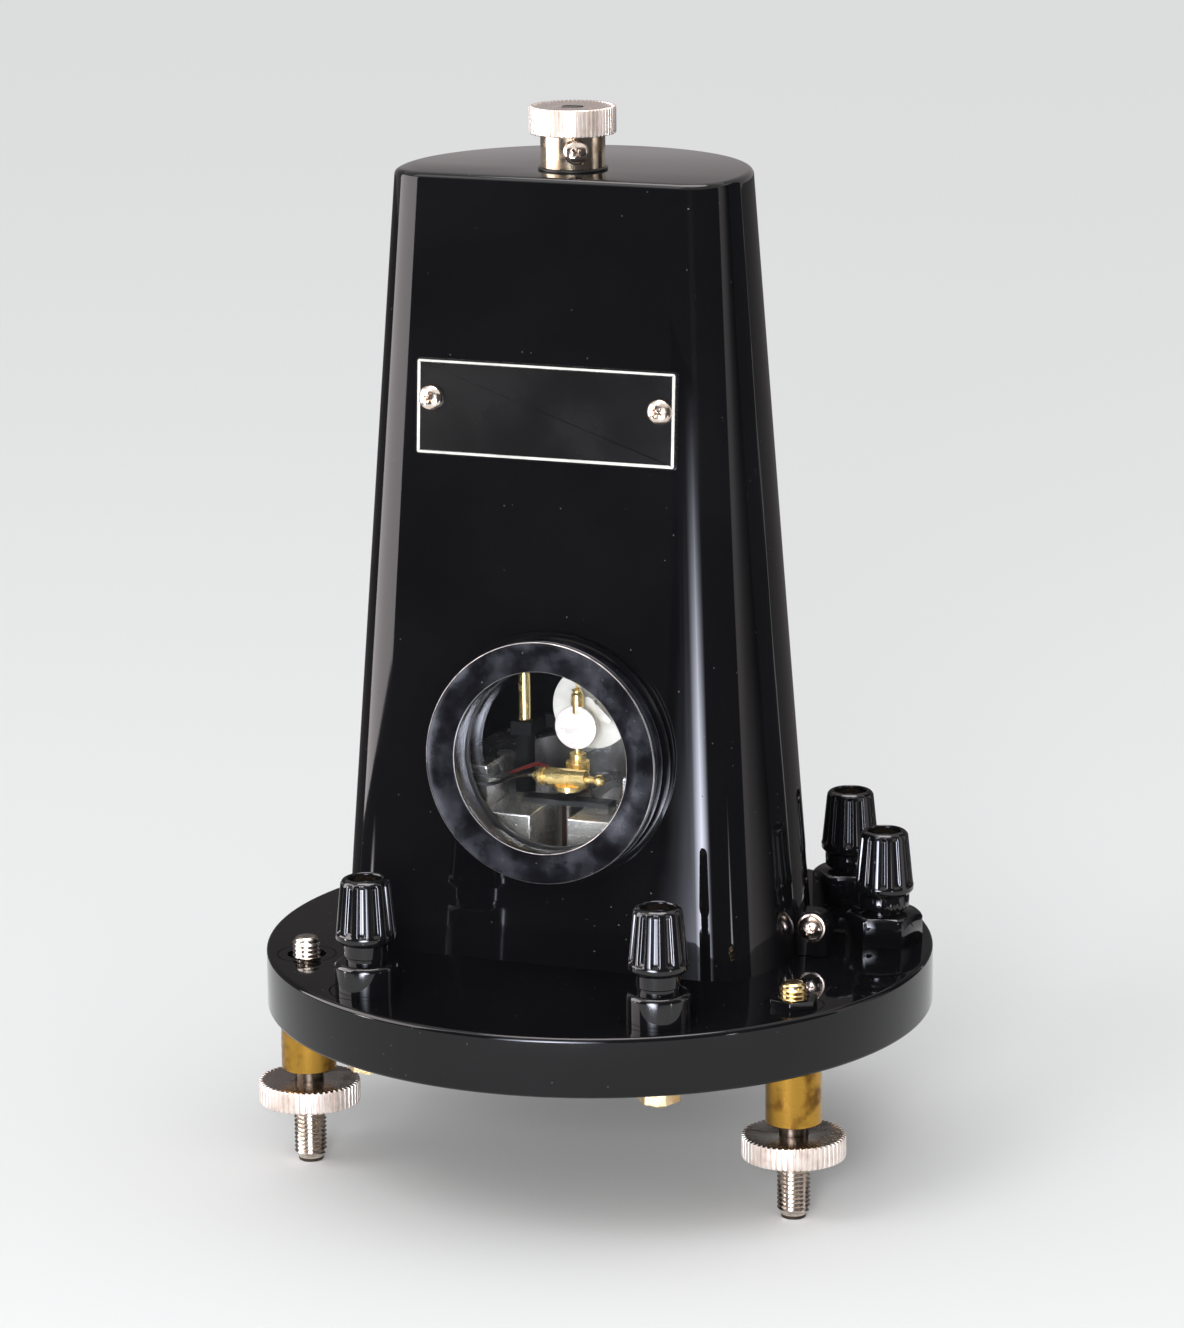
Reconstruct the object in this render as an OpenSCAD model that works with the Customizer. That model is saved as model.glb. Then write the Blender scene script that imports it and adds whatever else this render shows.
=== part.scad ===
// Reflecting galvanometer with a suspended coil, in millimetres, +Z up.
// The bench is z = 0, the base's own axis is the z axis, and the window looks towards -Y.

/* [Base] */
// Diameter of the round base
base_d = 190; // [180:1:215]
// Thickness of the base
base_t = 17; // [13:0.5:22]
// Rounding of the base's two rims
base_edge = 1.2; // [0.4:0.1:2.5]
// Height of the base's underside over the bench
base_lift = 44; // [42:0.5:52]

/* [Levelling feet] */
// Distance of each foot in from the base's rim
foot_inset = 11; // [9.5:0.5:14]
// Diameter of the studs over the wheels
foot_stud_d = 8; // [6:0.2:8.4]
// Diameter of a stud's lower part
foot_foot_d = 9.2; // [8.8:0.2:10]
// How far the left and back studs stand out of the base's top
foot_stud_rise = 5.25; // [5:0.25:9]
// How far the right stud stands out of the base's top
foot_right_rise = 6.5; // [5:0.25:9]
// Diameter of the turned-down tip of a stud
foot_tip_d = 7; // [5:0.2:8]
// Length of the turned-down tip
foot_tip_len = 1.4; // [1:0.2:3]
// Diameter of the brass bushes in the base
foot_bush_d = 15.6; // [13:0.2:18]
// How far a bush hangs under the base
foot_bush_drop = 16.4; // [10:0.2:17]
// Diameter of the knurled wheels
foot_wheel_d = 29; // [24:0.5:32]
// Thickness of the knurled wheels
foot_wheel_t = 6.4; // [4:0.2:8]
// Height of a wheel's underside over the bench
foot_wheel_z = 17.6; // [12:0.2:18]
// Ridges round a wheel
foot_knurls = 54; // [40:2:70]
// Width across the flats of the thin lock nut
foot_nut_af = 12; // [11.5:0.5:15]
// Thickness of the thin lock nut
foot_nut_t = 2.2; // [1.8:0.2:3.4]

/* [Case] */
// Case axis, sideways from the base's axis
case_x = -7.5; // [-10:0.5:0]
// Case axis, backwards from the base's axis
case_y = 4; // [0:0.5:8]
// Height of the case over the base
case_h = 220; // [200:1:240]
// Radius of the round back at the case's foot
case_foot_r = 66.5; // [63:0.5:68]
// Radius of the round back at the case's top
case_top_r = 50; // [46:0.5:56]
// Distance of the flat front from the case axis at the foot
case_foot_flat = 34; // [32:0.5:40]
// Distance of the flat front from the case axis at the top
case_top_flat = 19.5; // [18:0.5:26]
// Corner radius beside the flat front at the foot
case_foot_corner = 15; // [8:0.5:20]
// Corner radius beside the flat front at the top
case_top_corner = 11; // [6:0.5:16]
// Sheet thickness of the case
case_wall = 1.5; // [1:0.1:2.5]
// Rounding of the case's top rim
case_edge = 1.8; // [1:0.1:3]
// Height of the two ear screws over the base
case_screw_z = 8.5; // [7:0.25:10]
// How far the left ear is turned to the back
left_ear_turn = 18; // [0:1:30]

/* [Window] */
// Height of the window's centre over the base
window_z = 59.2; // [55:0.1:70]
// Window centre, sideways from the case axis
window_dx = 3.6; // [-3:0.1:4]
// Outer diameter of the bezel
window_bezel_d = 68.2; // [64:0.2:70]
// Diameter of the clear opening
window_bore_d = 51; // [46:0.5:52]
// How far the bezel stands out of the case
window_bezel_t = 9.5; // [7:0.5:12]
// How far the flange stands out round the bezel
window_flange_rim = 1.7; // [0.5:0.1:2.5]
// Thickness of the flange
window_flange_t = 1.6; // [1:0.2:2.4]
// Thickness of the glass
window_glass_t = 2; // [1.5:0.1:3]

/* [Name plate] */
// Width of the plate
plate_w = 77; // [60:1:80]
// Height of the plate
plate_h = 27; // [24:1:32]
// Thickness of the plate
plate_t = 0.9; // [0.6:0.1:1.5]
// Height of the plate's centre over the base
plate_z = 155.5; // [140:0.5:170]
// Plate's centre, sideways from the case axis
plate_dx = 0.5; // [-2:0.1:2]
// Distance of the plate's two screws in from its ends
plate_screw_inset = 4.7; // [4:0.1:6]
// How far the two screws sit over the plate's centre line
plate_screw_dy = 2.5; // [0:0.25:5]
// Head diameter of the small pan head screws
screw_head_d = 7; // [5.5:0.1:8]
// Head height of the small pan head screws
screw_head_h = 2.4; // [1.8:0.1:3]
// Shank diameter of the small pan head screws
screw_shank_d = 3; // [2.5:0.1:3.5]

/* [Terminals] */
// Distance of the two front terminals in from the base's rim
post_front_inset = 14.5; // [12:0.5:17]
// Angle of each front terminal from the front
post_front_angle = 32.2; // [30:0.5:45]
// Distance of the nearer side terminal in from the base's rim
post_near_inset = 14; // [11:0.25:15]
// Distance of the farther side terminal in from the base's rim
post_far_inset = 11; // [11:0.25:14]
// Angle of the nearer side terminal from the right
post_near_angle = 18.5; // [15:0.5:21]
// Angle of the farther side terminal from the right
post_far_angle = 50; // [46:0.5:54]
// Diameter of a round terminal body
post_round_d = 17.6; // [16:0.1:19]
// Width across the flats of a hexagonal terminal body
post_hex_af = 19; // [18:0.5:20]
// Turn of the hexagonal bodies
post_hex_turn = 15; // [-30:1:30]
// Height of a terminal body
post_body_h = 8.5; // [7:0.25:11]
// Diameter of the groove over the body
post_neck_d = 11.5; // [10:0.25:12]
// Height of the groove
post_neck_h = 1.2; // [0.8:0.1:2]
// Diameter of the plain collar of a hexagonal body
post_collar_d = 14.4; // [13.8:0.1:15.5]
// Diameter of the plain collar of a round body
post_slim_d = 12.2; // [12:0.1:14]
// Height of the plain collar
post_collar_h = 4.1; // [3.6:0.1:6]
// Diameter of the cap at its lower rim
post_cap_d = 16.8; // [16:0.1:17.5]
// Diameter of the cap at its top
post_cap_top_d = 13.8; // [13.4:0.1:14.5]
// Height of the cap
post_cap_h = 18.4; // [16:0.1:20]
// Flutes round the cap
post_flutes = 12; // [8:1:14]
// Diameter of the brass stem
post_stem_d = 7; // [6:0.1:7.5]
// Diameter of the plug socket in the stem
socket_d = 4; // [3:0.1:4.5]
// Depth of the plug socket
socket_depth = 12; // [9:0.5:13]
// Width across the flats of the nuts under the base
post_nut_af = 10.5; // [9:0.5:12]
// Thickness of the nuts under the base
post_nut_t = 4.6; // [3.5:0.1:6]
// Diameter of the stem's tail under the base
post_tail_d = 5; // [4:0.1:6]

/* [Torsion head] */
// Diameter of the knurled head
head_d = 24.3; // [22:0.1:28]
// Thickness of the knurled head
head_t = 7.7; // [6:0.1:10]
// Ridges round the head
head_knurls = 60; // [40:2:72]
// Diameter of the collar
head_collar_d = 18; // [16:0.5:20]
// Height of the collar
head_collar_h = 9; // [8:0.5:12]
// Thickness of the black washer under the collar
head_washer_t = 0.7; // [0.4:0.1:1.2]
// Diameter of the torsion spindle
spindle_d = 6; // [5:0.1:7]
// Direction of the lock screw, from the right
lock_angle = -64; // [-90:1:-50]
// Height of the lock screw over the middle of the collar
lock_rise = 0.7; // [-1:0.1:1]

/* [Suspended coil] */
// Height of the mirror's centre over the base
mirror_z = 60.8; // [58:0.1:64]
// Diameter of the mirror
mirror_d = 12.6; // [10:0.1:13]
// Thickness of the mirror
mirror_t = 1.2; // [0.8:0.1:1.6]
// Width of the wound coil
coil_w = 9.2; // [8:0.1:9.6]
// Height of the wound coil
coil_h = 33; // [28:0.5:33]
// Thickness of the wound coil, front to back
coil_t = 2.6; // [2:0.1:3]
// Width of the coil's winding
coil_wind = 1.4; // [1:0.1:1.6]
// Width of the suspension strip
strip_w = 0.8; // [0.6:0.1:1]
// Turns of the lower spring
spring_turns = 5; // [4:1:6]
// Diameter of the lower spring, to the middle of its wire
spring_d = 4; // [3:0.1:5]
// Diameter of the lower spring's wire
spring_wire = 0.5; // [0.4:0.05:0.6]

/* [Magnet] */
// Inside half width of the horseshoe magnet
magnet_in = 20.2; // [20:0.1:23]
// Width of each limb
magnet_limb = 13; // [10:0.5:15]
// Height of the magnet
magnet_h = 52; // [50:0.5:54]
// Bars stacked to make the magnet
magnet_bars = 4; // [3:1:5]
// Height of the pole shoes
shoe_h = 40; // [38:0.5:42]
// Gap between the pole shoes
shoe_gap = 11.4; // [11:0.1:12.4]
// Distance of the shoes' front from the case axis
shoe_front = 23.2; // [21:0.2:24]
// Thickness of the shoes' front flange
shoe_flange = 5; // [4:0.5:7]

/* [Inner frame] */
// Distance of each pillar from the suspension, sideways
pillar_dx = 17; // [16.8:0.1:17.2]
// Distance of each pillar from the suspension, backwards
pillar_dy = 2.4; // [2:0.1:4]
// Diameter of the brass pillar rods
pillar_d = 3.4; // [3:0.1:4]
// Diameter of the black sleeves
sleeve_d = 5.6; // [5.2:0.1:6]
// Height of the sleeves' top over the base, with the bracket on it
sleeve_top = 61; // [58:0.5:63]
// Diameter of the white screen behind the mirror
screen_d = 24; // [16:0.5:25]
// Diameter of the brass terminal bar
bar_d = 5.5; // [5:0.1:5.8]
// Height of the terminal bar's axis over the pole shoes
bar_rise = 7.4; // [6.5:0.1:8]
// Diameter of the inner leads
lead_d = 1.1; // [0.8:0.1:1.4]

/* [Hidden] */
$fn = 64;
run_gap = 0.05; // radial clearance of a pin in its hole
seat_gap = 0.1; // between faces of two pieces that move on each other
base_top = base_lift + base_t;
foot_pitch_r = base_d / 2 - foot_inset;
foot_bush_cover = 2.5; // the bush ends this far under the base's top
foot_mouth_d = foot_stud_d + 3; // open mouth over the bush
window_flange_d = window_bezel_d + 2 * window_flange_rim;
window_tube_d = window_bore_d + 7.4; // screwed tube of the bezel, through the case wall
ring_nut_d = window_bore_d + 16;
ring_nut_t = 3.5;
plate_screw_pitch = plate_w - 2 * plate_screw_inset;
bar_z = shoe_h + bar_rise;
foot_angles = [210, 330, 90]; // left, right and back
case_tilt = atan((case_foot_flat - case_top_flat) / case_h);
post_spots = [
    [base_d / 2 - post_front_inset, -90 - post_front_angle],
    [base_d / 2 - post_front_inset, -90 + post_front_angle],
    [base_d / 2 - post_near_inset, post_near_angle],
    [base_d / 2 - post_far_inset, post_far_angle]
];
hex_posts = [false, false, true, true];
post_seat_z = post_body_h + post_neck_h + post_collar_h;
post_stem_top = post_seat_z + post_cap_h - 2.6; // stem ends this far under the cap's rim
glass_front = 0; // front of the glass, from the case's face
insert_d = 10;
recess_d = 9.4; // round recess in a cap's top
recess_t = 2.6;
insert_z = 2; // insert's foot over the cap's foot
insert_h = 11.5;
collar_z = case_h + head_washer_t;
head_z = collar_z + head_collar_h + 0.3;
pillar_nut_af = 6.5;
pillar_nut_t = 2.5;
bridge_drop = 14;
bridge_z = case_h - bridge_drop; // brass bridge that carries the torsion head
bridge_t = 3.5;
bridge_depth = 14;
spigot_d = 12;
spindle_foot = case_h - 22;
hook_d = 3.6;
hook_top = mirror_z + mirror_d / 2 + 4.6;
neck_d = 4.9;
neck_h = 2.2;
ring_d = 7;
ring_h = 3.2;
ring_foot = mirror_z - 13.1; // knurled ring under the mirror
mirror_dy = 0.4; // back of the mirror, in front of the suspension
cell_t = 1.2;
coil_foot = 9.5;
coil_top = coil_foot + coil_h;
anchor_h = 1.8;
magnet_back_y = 12; // where the limbs end and the round yoke begins, behind the suspension
shoe_back = 14;
bar_dy = -7; // terminal bar, in front of the suspension
bridge_strip_t = 1.5;
bracket_h = 4;
screen_y = 9.4;
screen_t = 1;
screen_dx = 0.9;
screen_rise = 3.4; // screen's centre over the mirror's
flag = [1.5, 5.4];
flag_y = 4.4;
pointer = [[3.6, 6], [4.6, 5.8], [8.9, 1.6], [8.5, 0.6], [4.9, 1.6], [3, 3.6]];
lug_r = 4.3; // rounded end of a lug
lug_out = 4.7; // screw's axis, outwards from the case wall
lug_t = 5;
ear_t = 1.6;

function mix(a, b, t) = a + (b - a) * t;
function polar(r, a) = [r * cos(a), r * sin(a)];
function case_r(z) = mix(case_foot_r, case_top_r, z / case_h);
function case_flat(z) = mix(case_foot_flat, case_top_flat, z / case_h);
function case_corner(z) = mix(case_foot_corner, case_top_corner, z / case_h);

// Outline of the case at height z over the base, drawn in by inset on every side
function case_outline(z, inset) =
    let (r = case_r(z) - inset, flat = case_flat(z) - inset, c = case_corner(z) - inset,
         yc = c - flat, xc = sqrt(pow(r - c, 2) - yc * yc), a = atan2(yc, xc))
    concat(
        [for (i = [0:60]) polar(r, mix(a, 180 - a, i / 60))],
        [for (i = [1:9]) [-xc, yc] + polar(c, mix(180 - a, 270, i / 9))],
        [for (i = [0:8]) [xc, yc] + polar(c, mix(270, 360 + a, i / 9))]
    );

// Solid through a stack of rings with equal numbers of points
module skin(rings) {
    n = len(rings[0]);
    m = len(rings);
    polyhedron(
        points = [for (ring = rings) each ring],
        faces = concat(
            [[for (i = [0:n - 1]) i]],
            [for (k = [0:m - 2]) for (i = [0:n - 1]) let (j = (i + 1) % n)
                each [[k * n + i, (k + 1) * n + i, (k + 1) * n + j], [k * n + i, (k + 1) * n + j, k * n + j]]],
            [[for (i = [n - 1:-1:0]) (m - 1) * n + i]]
        )
    );
}

function raised(outline, z) = [for (p = outline) [p[0], p[1], z]];

module on_case_axis(z = 0) translate([case_x, case_y, base_top + z]) children();

// Places children on the flat front, z outwards and y up the slope
module on_front(dx, z) {
    translate([case_x + dx, case_y - case_flat(z), base_top + z]) rotate([90 - case_tilt, 0, 0]) children();
}

module at_post(i) {
    translate(concat(polar(post_spots[i][0], post_spots[i][1]), [base_top])) children();
}

module at_foot(i) rotate(foot_angles[i]) translate([foot_pitch_r, 0, 0]) rotate(-foot_angles[i]) children();

module tube(outer_d, inner_d, h) {
    difference() {
        cylinder(d = outer_d, h = h);
        translate([0, 0, -1]) cylinder(d = inner_d, h = h + 2);
    }
}

module hex_prism(af, h) cylinder(d = af / cos(30), h = h, $fn = 6);

// Straight knurl: flat ridges with narrow grooves between them
module knurled(d, h, ridges, depth) {
    step = 360 / ridges;
    linear_extrude(h) polygon([for (i = [0:ridges - 1]) each [
        polar(d / 2, (i - 0.3) * step), polar(d / 2, (i + 0.3) * step),
        polar(d / 2 - depth, (i + 0.44) * step), polar(d / 2 - depth, (i + 0.56) * step)
    ]]);
}

// Pan head screw, head outwards along z, shank inwards
module pan_screw(head_d, head_h, shank_d, shank_len) {
    difference() {
        union() {
            translate([0, 0, -shank_len]) cylinder(d = shank_d, h = shank_len + head_h / 2);
            rotate_extrude() intersection() {
                translate([0, -0.35 * head_d]) circle(r = 0.35 * head_d + head_h);
                square([head_d / 2, head_h]);
            }
        }
        for (a = [45, 135]) rotate(a) translate([-0.28 * head_d, -0.07 * head_d, 0.45 * head_h])
            cube([0.56 * head_d, 0.14 * head_d, head_h]);
    }
}

// Wire swept along points, with a ring of sides corners at each
function unit(v) = v / norm(v);
function heading(p, i) = unit(p[min(i + 1, len(p) - 1)] - p[max(i - 1, 0)]);
function wire_ring(p, i, d, sides) =
    let (t = heading(p, i), side = unit(cross(t, abs(t[2]) > 0.95 ? [0, 1, 0] : [0, 0, 1])), up = cross(side, t))
    [for (k = [0:sides - 1]) p[i] + (side * cos(k * 360 / sides) + up * sin(k * 360 / sides)) * d / 2];
module wire(p, d, sides) skin([for (i = [0:len(p) - 1]) wire_ring(p, i, d, sides)]);

// Smooth curve through hand-placed points
function spline_point(a, b, c, e, t) =
    0.5 * (2 * b + (c - a) * t + (2 * a - 5 * b + 4 * c - e) * t * t + (3 * b - a - 3 * c + e) * t * t * t);
function spline(p, steps) = concat([for (i = [0:len(p) - 2]) for (s = [0:steps - 1])
    spline_point(p[max(i - 1, 0)], p[i], p[i + 1], p[min(i + 2, len(p) - 1)], s / steps)], [p[len(p) - 1]]);

module base() {
    color("#17171a") difference() {
        rotate_extrude($fn = 128) {
            r = base_d / 2;
            translate([0, base_lift]) {
                translate([0, base_edge]) square([r, base_t - 2 * base_edge]);
                square([r - base_edge, base_t]);
                for (z = [base_edge, base_t - base_edge]) translate([r - base_edge, z]) circle(r = base_edge);
            }
        }
        for (i = [0:2]) at_foot(i) {
            translate([0, 0, base_lift - 1]) cylinder(d = foot_bush_d + 2 * run_gap, h = base_t + 1 - foot_bush_cover);
            translate([0, 0, base_top - foot_bush_cover - 1]) cylinder(d = foot_mouth_d, h = foot_bush_cover + 2);
            translate([0, 0, base_top - 0.4]) tube(foot_bush_d + 1.3, foot_bush_d + 0.7, 1);
        }
        for (i = [0:3]) at_post(i) translate([0, 0, -base_t - 1])
            cylinder(d = post_tail_d + 2 * run_gap, h = base_t + 2);
        for (i = [0, 1]) at_post(i) translate([0, 0, -0.6]) tube(post_round_d + 3.7, post_round_d + 2.9, 1);
        for (p = lead_feet) translate([p[0], p[1], base_top - 4]) cylinder(d = lead_d + 0.6, h = 5);
    }
}

module case() {
    turns = 5;
    color("#141416") difference() {
        on_case_axis() {
            difference() {
                skin(concat(
                    [raised(case_outline(0, 0), 0)],
                    [for (i = [0:turns]) let (a = 90 * i / turns)
                        raised(case_outline(case_h - case_edge, case_edge * (1 - cos(a))),
                               case_h - case_edge + case_edge * sin(a))]
                ));
                skin([raised(case_outline(0, case_wall), -1), raised(case_outline(case_h, case_wall), case_h - case_wall)]);
                translate([0, 0, case_h - case_wall - 1]) cylinder(d = spigot_d + 0.4, h = case_wall + 2);
            }
            for (side = [-1, 1]) ear_side(side) ear(side, -ear_t, ear_t, case_r(case_screw_z) - 0.9, 0.2);
        }
        on_front(window_dx, window_z) translate([0, 0, -12]) cylinder(d = window_tube_d + 0.8, h = 24);
        on_front(plate_dx, plate_z) plate_holes(6);
    }
}

module plate_holes(reach) {
    for (side = [-1, 1]) translate([side * plate_screw_pitch / 2, plate_screw_dy, -reach])
        cylinder(d = screw_shank_d + 0.2, h = 2 * reach);
}

module ear_side(side) rotate(side < 0 ? -left_ear_turn : 0) children();

// Upright ear with a round end beside the case wall, from y backwards and from x_in outwards
module ear(side, y, thick, x_in, foot) {
    x = case_r(case_screw_z) + lug_out;
    translate([0, y + thick, 0]) rotate([90, 0, 0]) linear_extrude(thick) difference() {
        intersection() {
            union() {
                translate([side * x, case_screw_z]) circle(r = lug_r);
                translate([side > 0 ? x_in : -x, foot]) square([x - x_in, case_screw_z + lug_r - foot]);
                translate([side * x - lug_r, foot]) square([2 * lug_r, case_screw_z - foot]);
            }
            translate([side > 0 ? x_in : -x_in - 20, -1]) square([20, 30]);
        }
        translate([side * x, case_screw_z]) circle(d = screw_shank_d + 2 * run_gap);
    }
}

// Blocks on the base behind the case's two ears
module case_lugs() {
    color("#1b1b1d") on_case_axis() for (side = [-1, 1]) ear_side(side)
        ear(side, run_gap, lug_t, case_foot_r + 0.15, 0);
}

module case_screws() {
    color("#d8d2c8") on_case_axis(case_screw_z) for (side = [-1, 1]) ear_side(side)
        translate([side * (case_r(case_screw_z) + lug_out), -ear_t, 0]) rotate([90, 0, 0]) {
            tube(screw_head_d + 1.4, screw_shank_d - 1, 0.5);
            translate([0, 0, 0.5]) pan_screw(screw_head_d, screw_head_h, screw_shank_d, 5.5);
        }
}

module window_flange() {
    color("#1b1b1e") on_front(window_dx, window_z)
        tube(window_flange_d, window_tube_d + 0.2, window_flange_t);
}

module window_bezel() {
    r = window_bezel_d / 2;
    b = window_bore_d / 2;
    t = window_bezel_t;
    f = window_flange_t;
    tube_r = window_tube_d / 2;
    color("#202024") on_front(window_dx, window_z) rotate_extrude($fn = 96) polygon([
        [b, t - 0.9], [b + 0.35, t - 0.55], [(r + b) / 2, t - 1], [r - 0.9, t], [r - 0.35, t],
        [r, t - 0.35], [r, t - 1.2], [r - 0.5, t - 1.5], [r - 0.5, t - 2.1], [r, t - 2.4],
        [r, f + 1.6], [r - 0.5, f + 1], [r - 0.5, f], [tube_r, f], [tube_r, -6], [b + 2, -6],
        [b + 2, glass_front], [b + 0.5, glass_front], [b + 0.5, f + 1], [b, f + 1.5]
    ]);
}

module window_glass() {
    color("#dfe9ee", 0.4) on_front(window_dx, window_z) translate([0, 0, glass_front - window_glass_t])
        cylinder(d = window_bore_d + 4 - 4 * run_gap, h = window_glass_t - run_gap);
}

// Ring nut behind the case wall, and the spring ring that keeps the glass in its seat
module window_rings() {
    color("#26262a") on_front(window_dx, window_z) {
        translate([0, 0, -case_wall - 0.2 - ring_nut_t]) tube(ring_nut_d, window_tube_d + 2 * run_gap, ring_nut_t);
        translate([0, 0, glass_front - window_glass_t - 1.2 - run_gap])
            tube(window_bore_d + 4 - 4 * run_gap, window_bore_d, 1.2);
    }
}

module name_plate() {
    c = 1;
    color("#101012") on_front(plate_dx, plate_z) difference() {
        linear_extrude(plate_t) {
            square([plate_w - 2 * c, plate_h], center = true);
            square([plate_w, plate_h - 2 * c], center = true);
            for (x = [-1, 1]) for (y = [-1, 1])
                translate([x * (plate_w / 2 - c), y * (plate_h / 2 - c)]) circle(r = c, $fn = 32);
        }
        plate_holes(3);
    }
}

module name_plate_screws() {
    color("#cdb5a0") on_front(plate_dx, plate_z) for (side = [-1, 1])
        translate([side * plate_screw_pitch / 2, plate_screw_dy, plate_t])
            pan_screw(screw_head_d, screw_head_h, screw_shank_d, 5);
}

module foot_bushes() {
    color("#a8802f") for (i = [0:2]) at_foot(i) difference() {
        translate([0, 0, base_lift - foot_bush_drop])
            cylinder(d = foot_bush_d, h = base_t + foot_bush_drop - foot_bush_cover - run_gap);
        translate([0, 0, base_lift - foot_bush_drop - 1])
            cylinder(d = foot_stud_d + 2 * run_gap, h = base_t + foot_bush_drop + 2);
    }
}

module foot_lock_nut() {
    color("#2b2b2e") at_foot(1) translate([0, 0, base_top]) difference() {
        rotate(40) hex_prism(foot_nut_af, foot_nut_t);
        translate([0, 0, -1]) cylinder(d = foot_stud_d + 2 * run_gap, h = foot_nut_t + 2);
    }
}

module foot_stud(i) {
    r = foot_stud_d / 2;
    low_r = foot_foot_d / 2;
    step_z = foot_wheel_z - seat_gap;
    top = base_top + (i == 1 ? foot_right_rise : foot_stud_rise);
    color("#c9c2b4") at_foot(i) difference() {
        rotate_extrude() polygon([
            [0, 0], [foot_tip_d / 2 - 0.4, 0], [foot_tip_d / 2, 0.4], [foot_tip_d / 2, foot_tip_len],
            [low_r - 0.5, foot_tip_len], [low_r, foot_tip_len + 0.5], [low_r, step_z], [r, step_z],
            [r, top - 1], [r - 1, top], [0, top]
        ]);
        rotate(25) translate([-foot_stud_d, -0.6, top - 1.5]) cube([2 * foot_stud_d, 1.2, 3]);
    }
}

module foot_wheel(i) {
    color("#cfc6b8") at_foot(i) translate([0, 0, foot_wheel_z]) difference() {
        knurled(foot_wheel_d, foot_wheel_t, foot_knurls, 0.55);
        translate([0, 0, -1]) cylinder(d = foot_stud_d + 2 * run_gap, h = foot_wheel_t + 2);
    }
}

// Turned or hexagonal body, then groove and collar, all one moulding
module post_body(i) {
    r = post_round_d / 2;
    hex_r = post_hex_af / 2;
    collar_r = (hex_posts[i] ? post_collar_d : post_slim_d) / 2;
    color("#151517") at_post(i) difference() {
        union() {
            if (hex_posts[i]) intersection() {
                rotate(post_hex_turn) hex_prism(post_hex_af, post_body_h);
                cylinder(r1 = hex_r + 0.6 * post_body_h + 1.4, r2 = hex_r - 0.3, h = post_body_h + 1.2);
            }
            else rotate_extrude() {
                square([r - 1.5, post_body_h]);
                square([r, post_body_h - 1.5]);
                translate([r - 1.5, post_body_h - 1.5]) circle(r = 1.5);
            }
            cylinder(d = post_neck_d, h = post_body_h + post_neck_h + 0.5);
            translate([0, 0, post_body_h + post_neck_h]) rotate_extrude() polygon([
                [0, 0], [collar_r - 0.5, 0], [collar_r, 0.5], [collar_r, post_collar_h], [0, post_collar_h]
            ]);
        }
        translate([0, 0, -1]) cylinder(d = post_stem_d + 2 * run_gap, h = post_seat_z + 2);
    }
}

module post_stem(i) {
    tail = base_t + 1 + post_nut_t + 1.2;
    color("#c39a45") at_post(i) difference() {
        union() {
            translate([0, 0, -tail]) cylinder(d = post_tail_d, h = tail + 1);
            cylinder(d = post_stem_d, h = post_stem_top - 0.5);
            cylinder(d = post_stem_d - 1, h = post_stem_top);
        }
        translate([0, 0, post_stem_top - socket_depth]) cylinder(d = socket_d, h = socket_depth + 1);
        translate([0, 0, post_seat_z + 1]) rotate([90, 0, 30]) cylinder(d = 1.8, h = 2 * post_stem_d, center = true);
    }
}

module post_insert(i) {
    color("#c39a45") at_post(i) translate([0, 0, post_seat_z + seat_gap + insert_z])
        tube(insert_d, post_stem_d + 2 * run_gap, insert_h);
}

// Tapered cap: flutes fade out under the round shoulder and stop over a plain band
module post_cap(i) {
    r = post_cap_d / 2;
    top_r = post_cap_top_d / 2;
    shoulder = 2;
    band = 2.7;
    taper = atan((r - top_r) / post_cap_h);
    color("#161618") at_post(i) translate([0, 0, post_seat_z + seat_gap]) difference() {
        rotate_extrude() {
            polygon([[0, 0], [r - 1.1, 0], [r - 0.2, 1], [r, 1.3], [r, band], [top_r, post_cap_h - shoulder], [0, post_cap_h - shoulder]]);
            translate([top_r - shoulder, post_cap_h - shoulder]) circle(r = shoulder);
            translate([0, post_cap_h - shoulder - 1]) square([top_r - shoulder, shoulder + 1]);
        }
        translate([0, 0, -1]) cylinder(d = insert_d + 2 * run_gap, h = insert_z + insert_h + seat_gap + 1);
        cylinder(d = post_stem_d + 0.4, h = post_cap_h + 1);
        translate([0, 0, post_cap_h - recess_t]) cylinder(d = recess_d, h = recess_t + 1);
        for (k = [0:post_flutes - 1]) rotate((k + 0.5) * 360 / post_flutes)
            translate([r + 0.95, 0, band]) rotate([0, -1.1 * taper, 0]) cylinder(r = 1.5, h = post_cap_h, $fn = 32);
    }
}

module post_washers() {
    color("#c9a65a") for (i = [0:3]) at_post(i) translate([0, 0, -base_t - 1])
        tube(post_nut_af + 2, post_tail_d + 2 * run_gap, 1);
}

module post_nuts() {
    color("#c39a45") for (i = [0:3]) at_post(i) translate([0, 0, -base_t - 1 - post_nut_t]) difference() {
        rotate(10) hex_prism(post_nut_af, post_nut_t);
        translate([0, 0, -1]) cylinder(d = post_tail_d + 2 * run_gap, h = post_nut_t + 2);
    }
}

module head_washer() {
    color("#18181a") on_case_axis(case_h) tube(head_collar_d + 1.4, spigot_d + 0.4, head_washer_t);
}

module head_collar() {
    color("#c8bda6") on_case_axis(bridge_z) difference() {
        union() {
            translate([0, 0, bridge_t - 2]) cylinder(d = spigot_d, h = collar_z - bridge_z - bridge_t + 3);
            translate([0, 0, collar_z - bridge_z]) cylinder(d = head_collar_d, h = head_collar_h);
        }
        translate([0, 0, -1]) cylinder(d = spindle_d + 2 * run_gap, h = head_z + 10);
        lock_hole(collar_z - bridge_z + head_collar_h / 2 + lock_rise, screw_shank_d + 2 * run_gap);
    }
}

module lock_hole(z, d) translate([0, 0, z]) rotate([90, 0, lock_angle + 90]) cylinder(d = d, h = head_collar_d);

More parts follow.
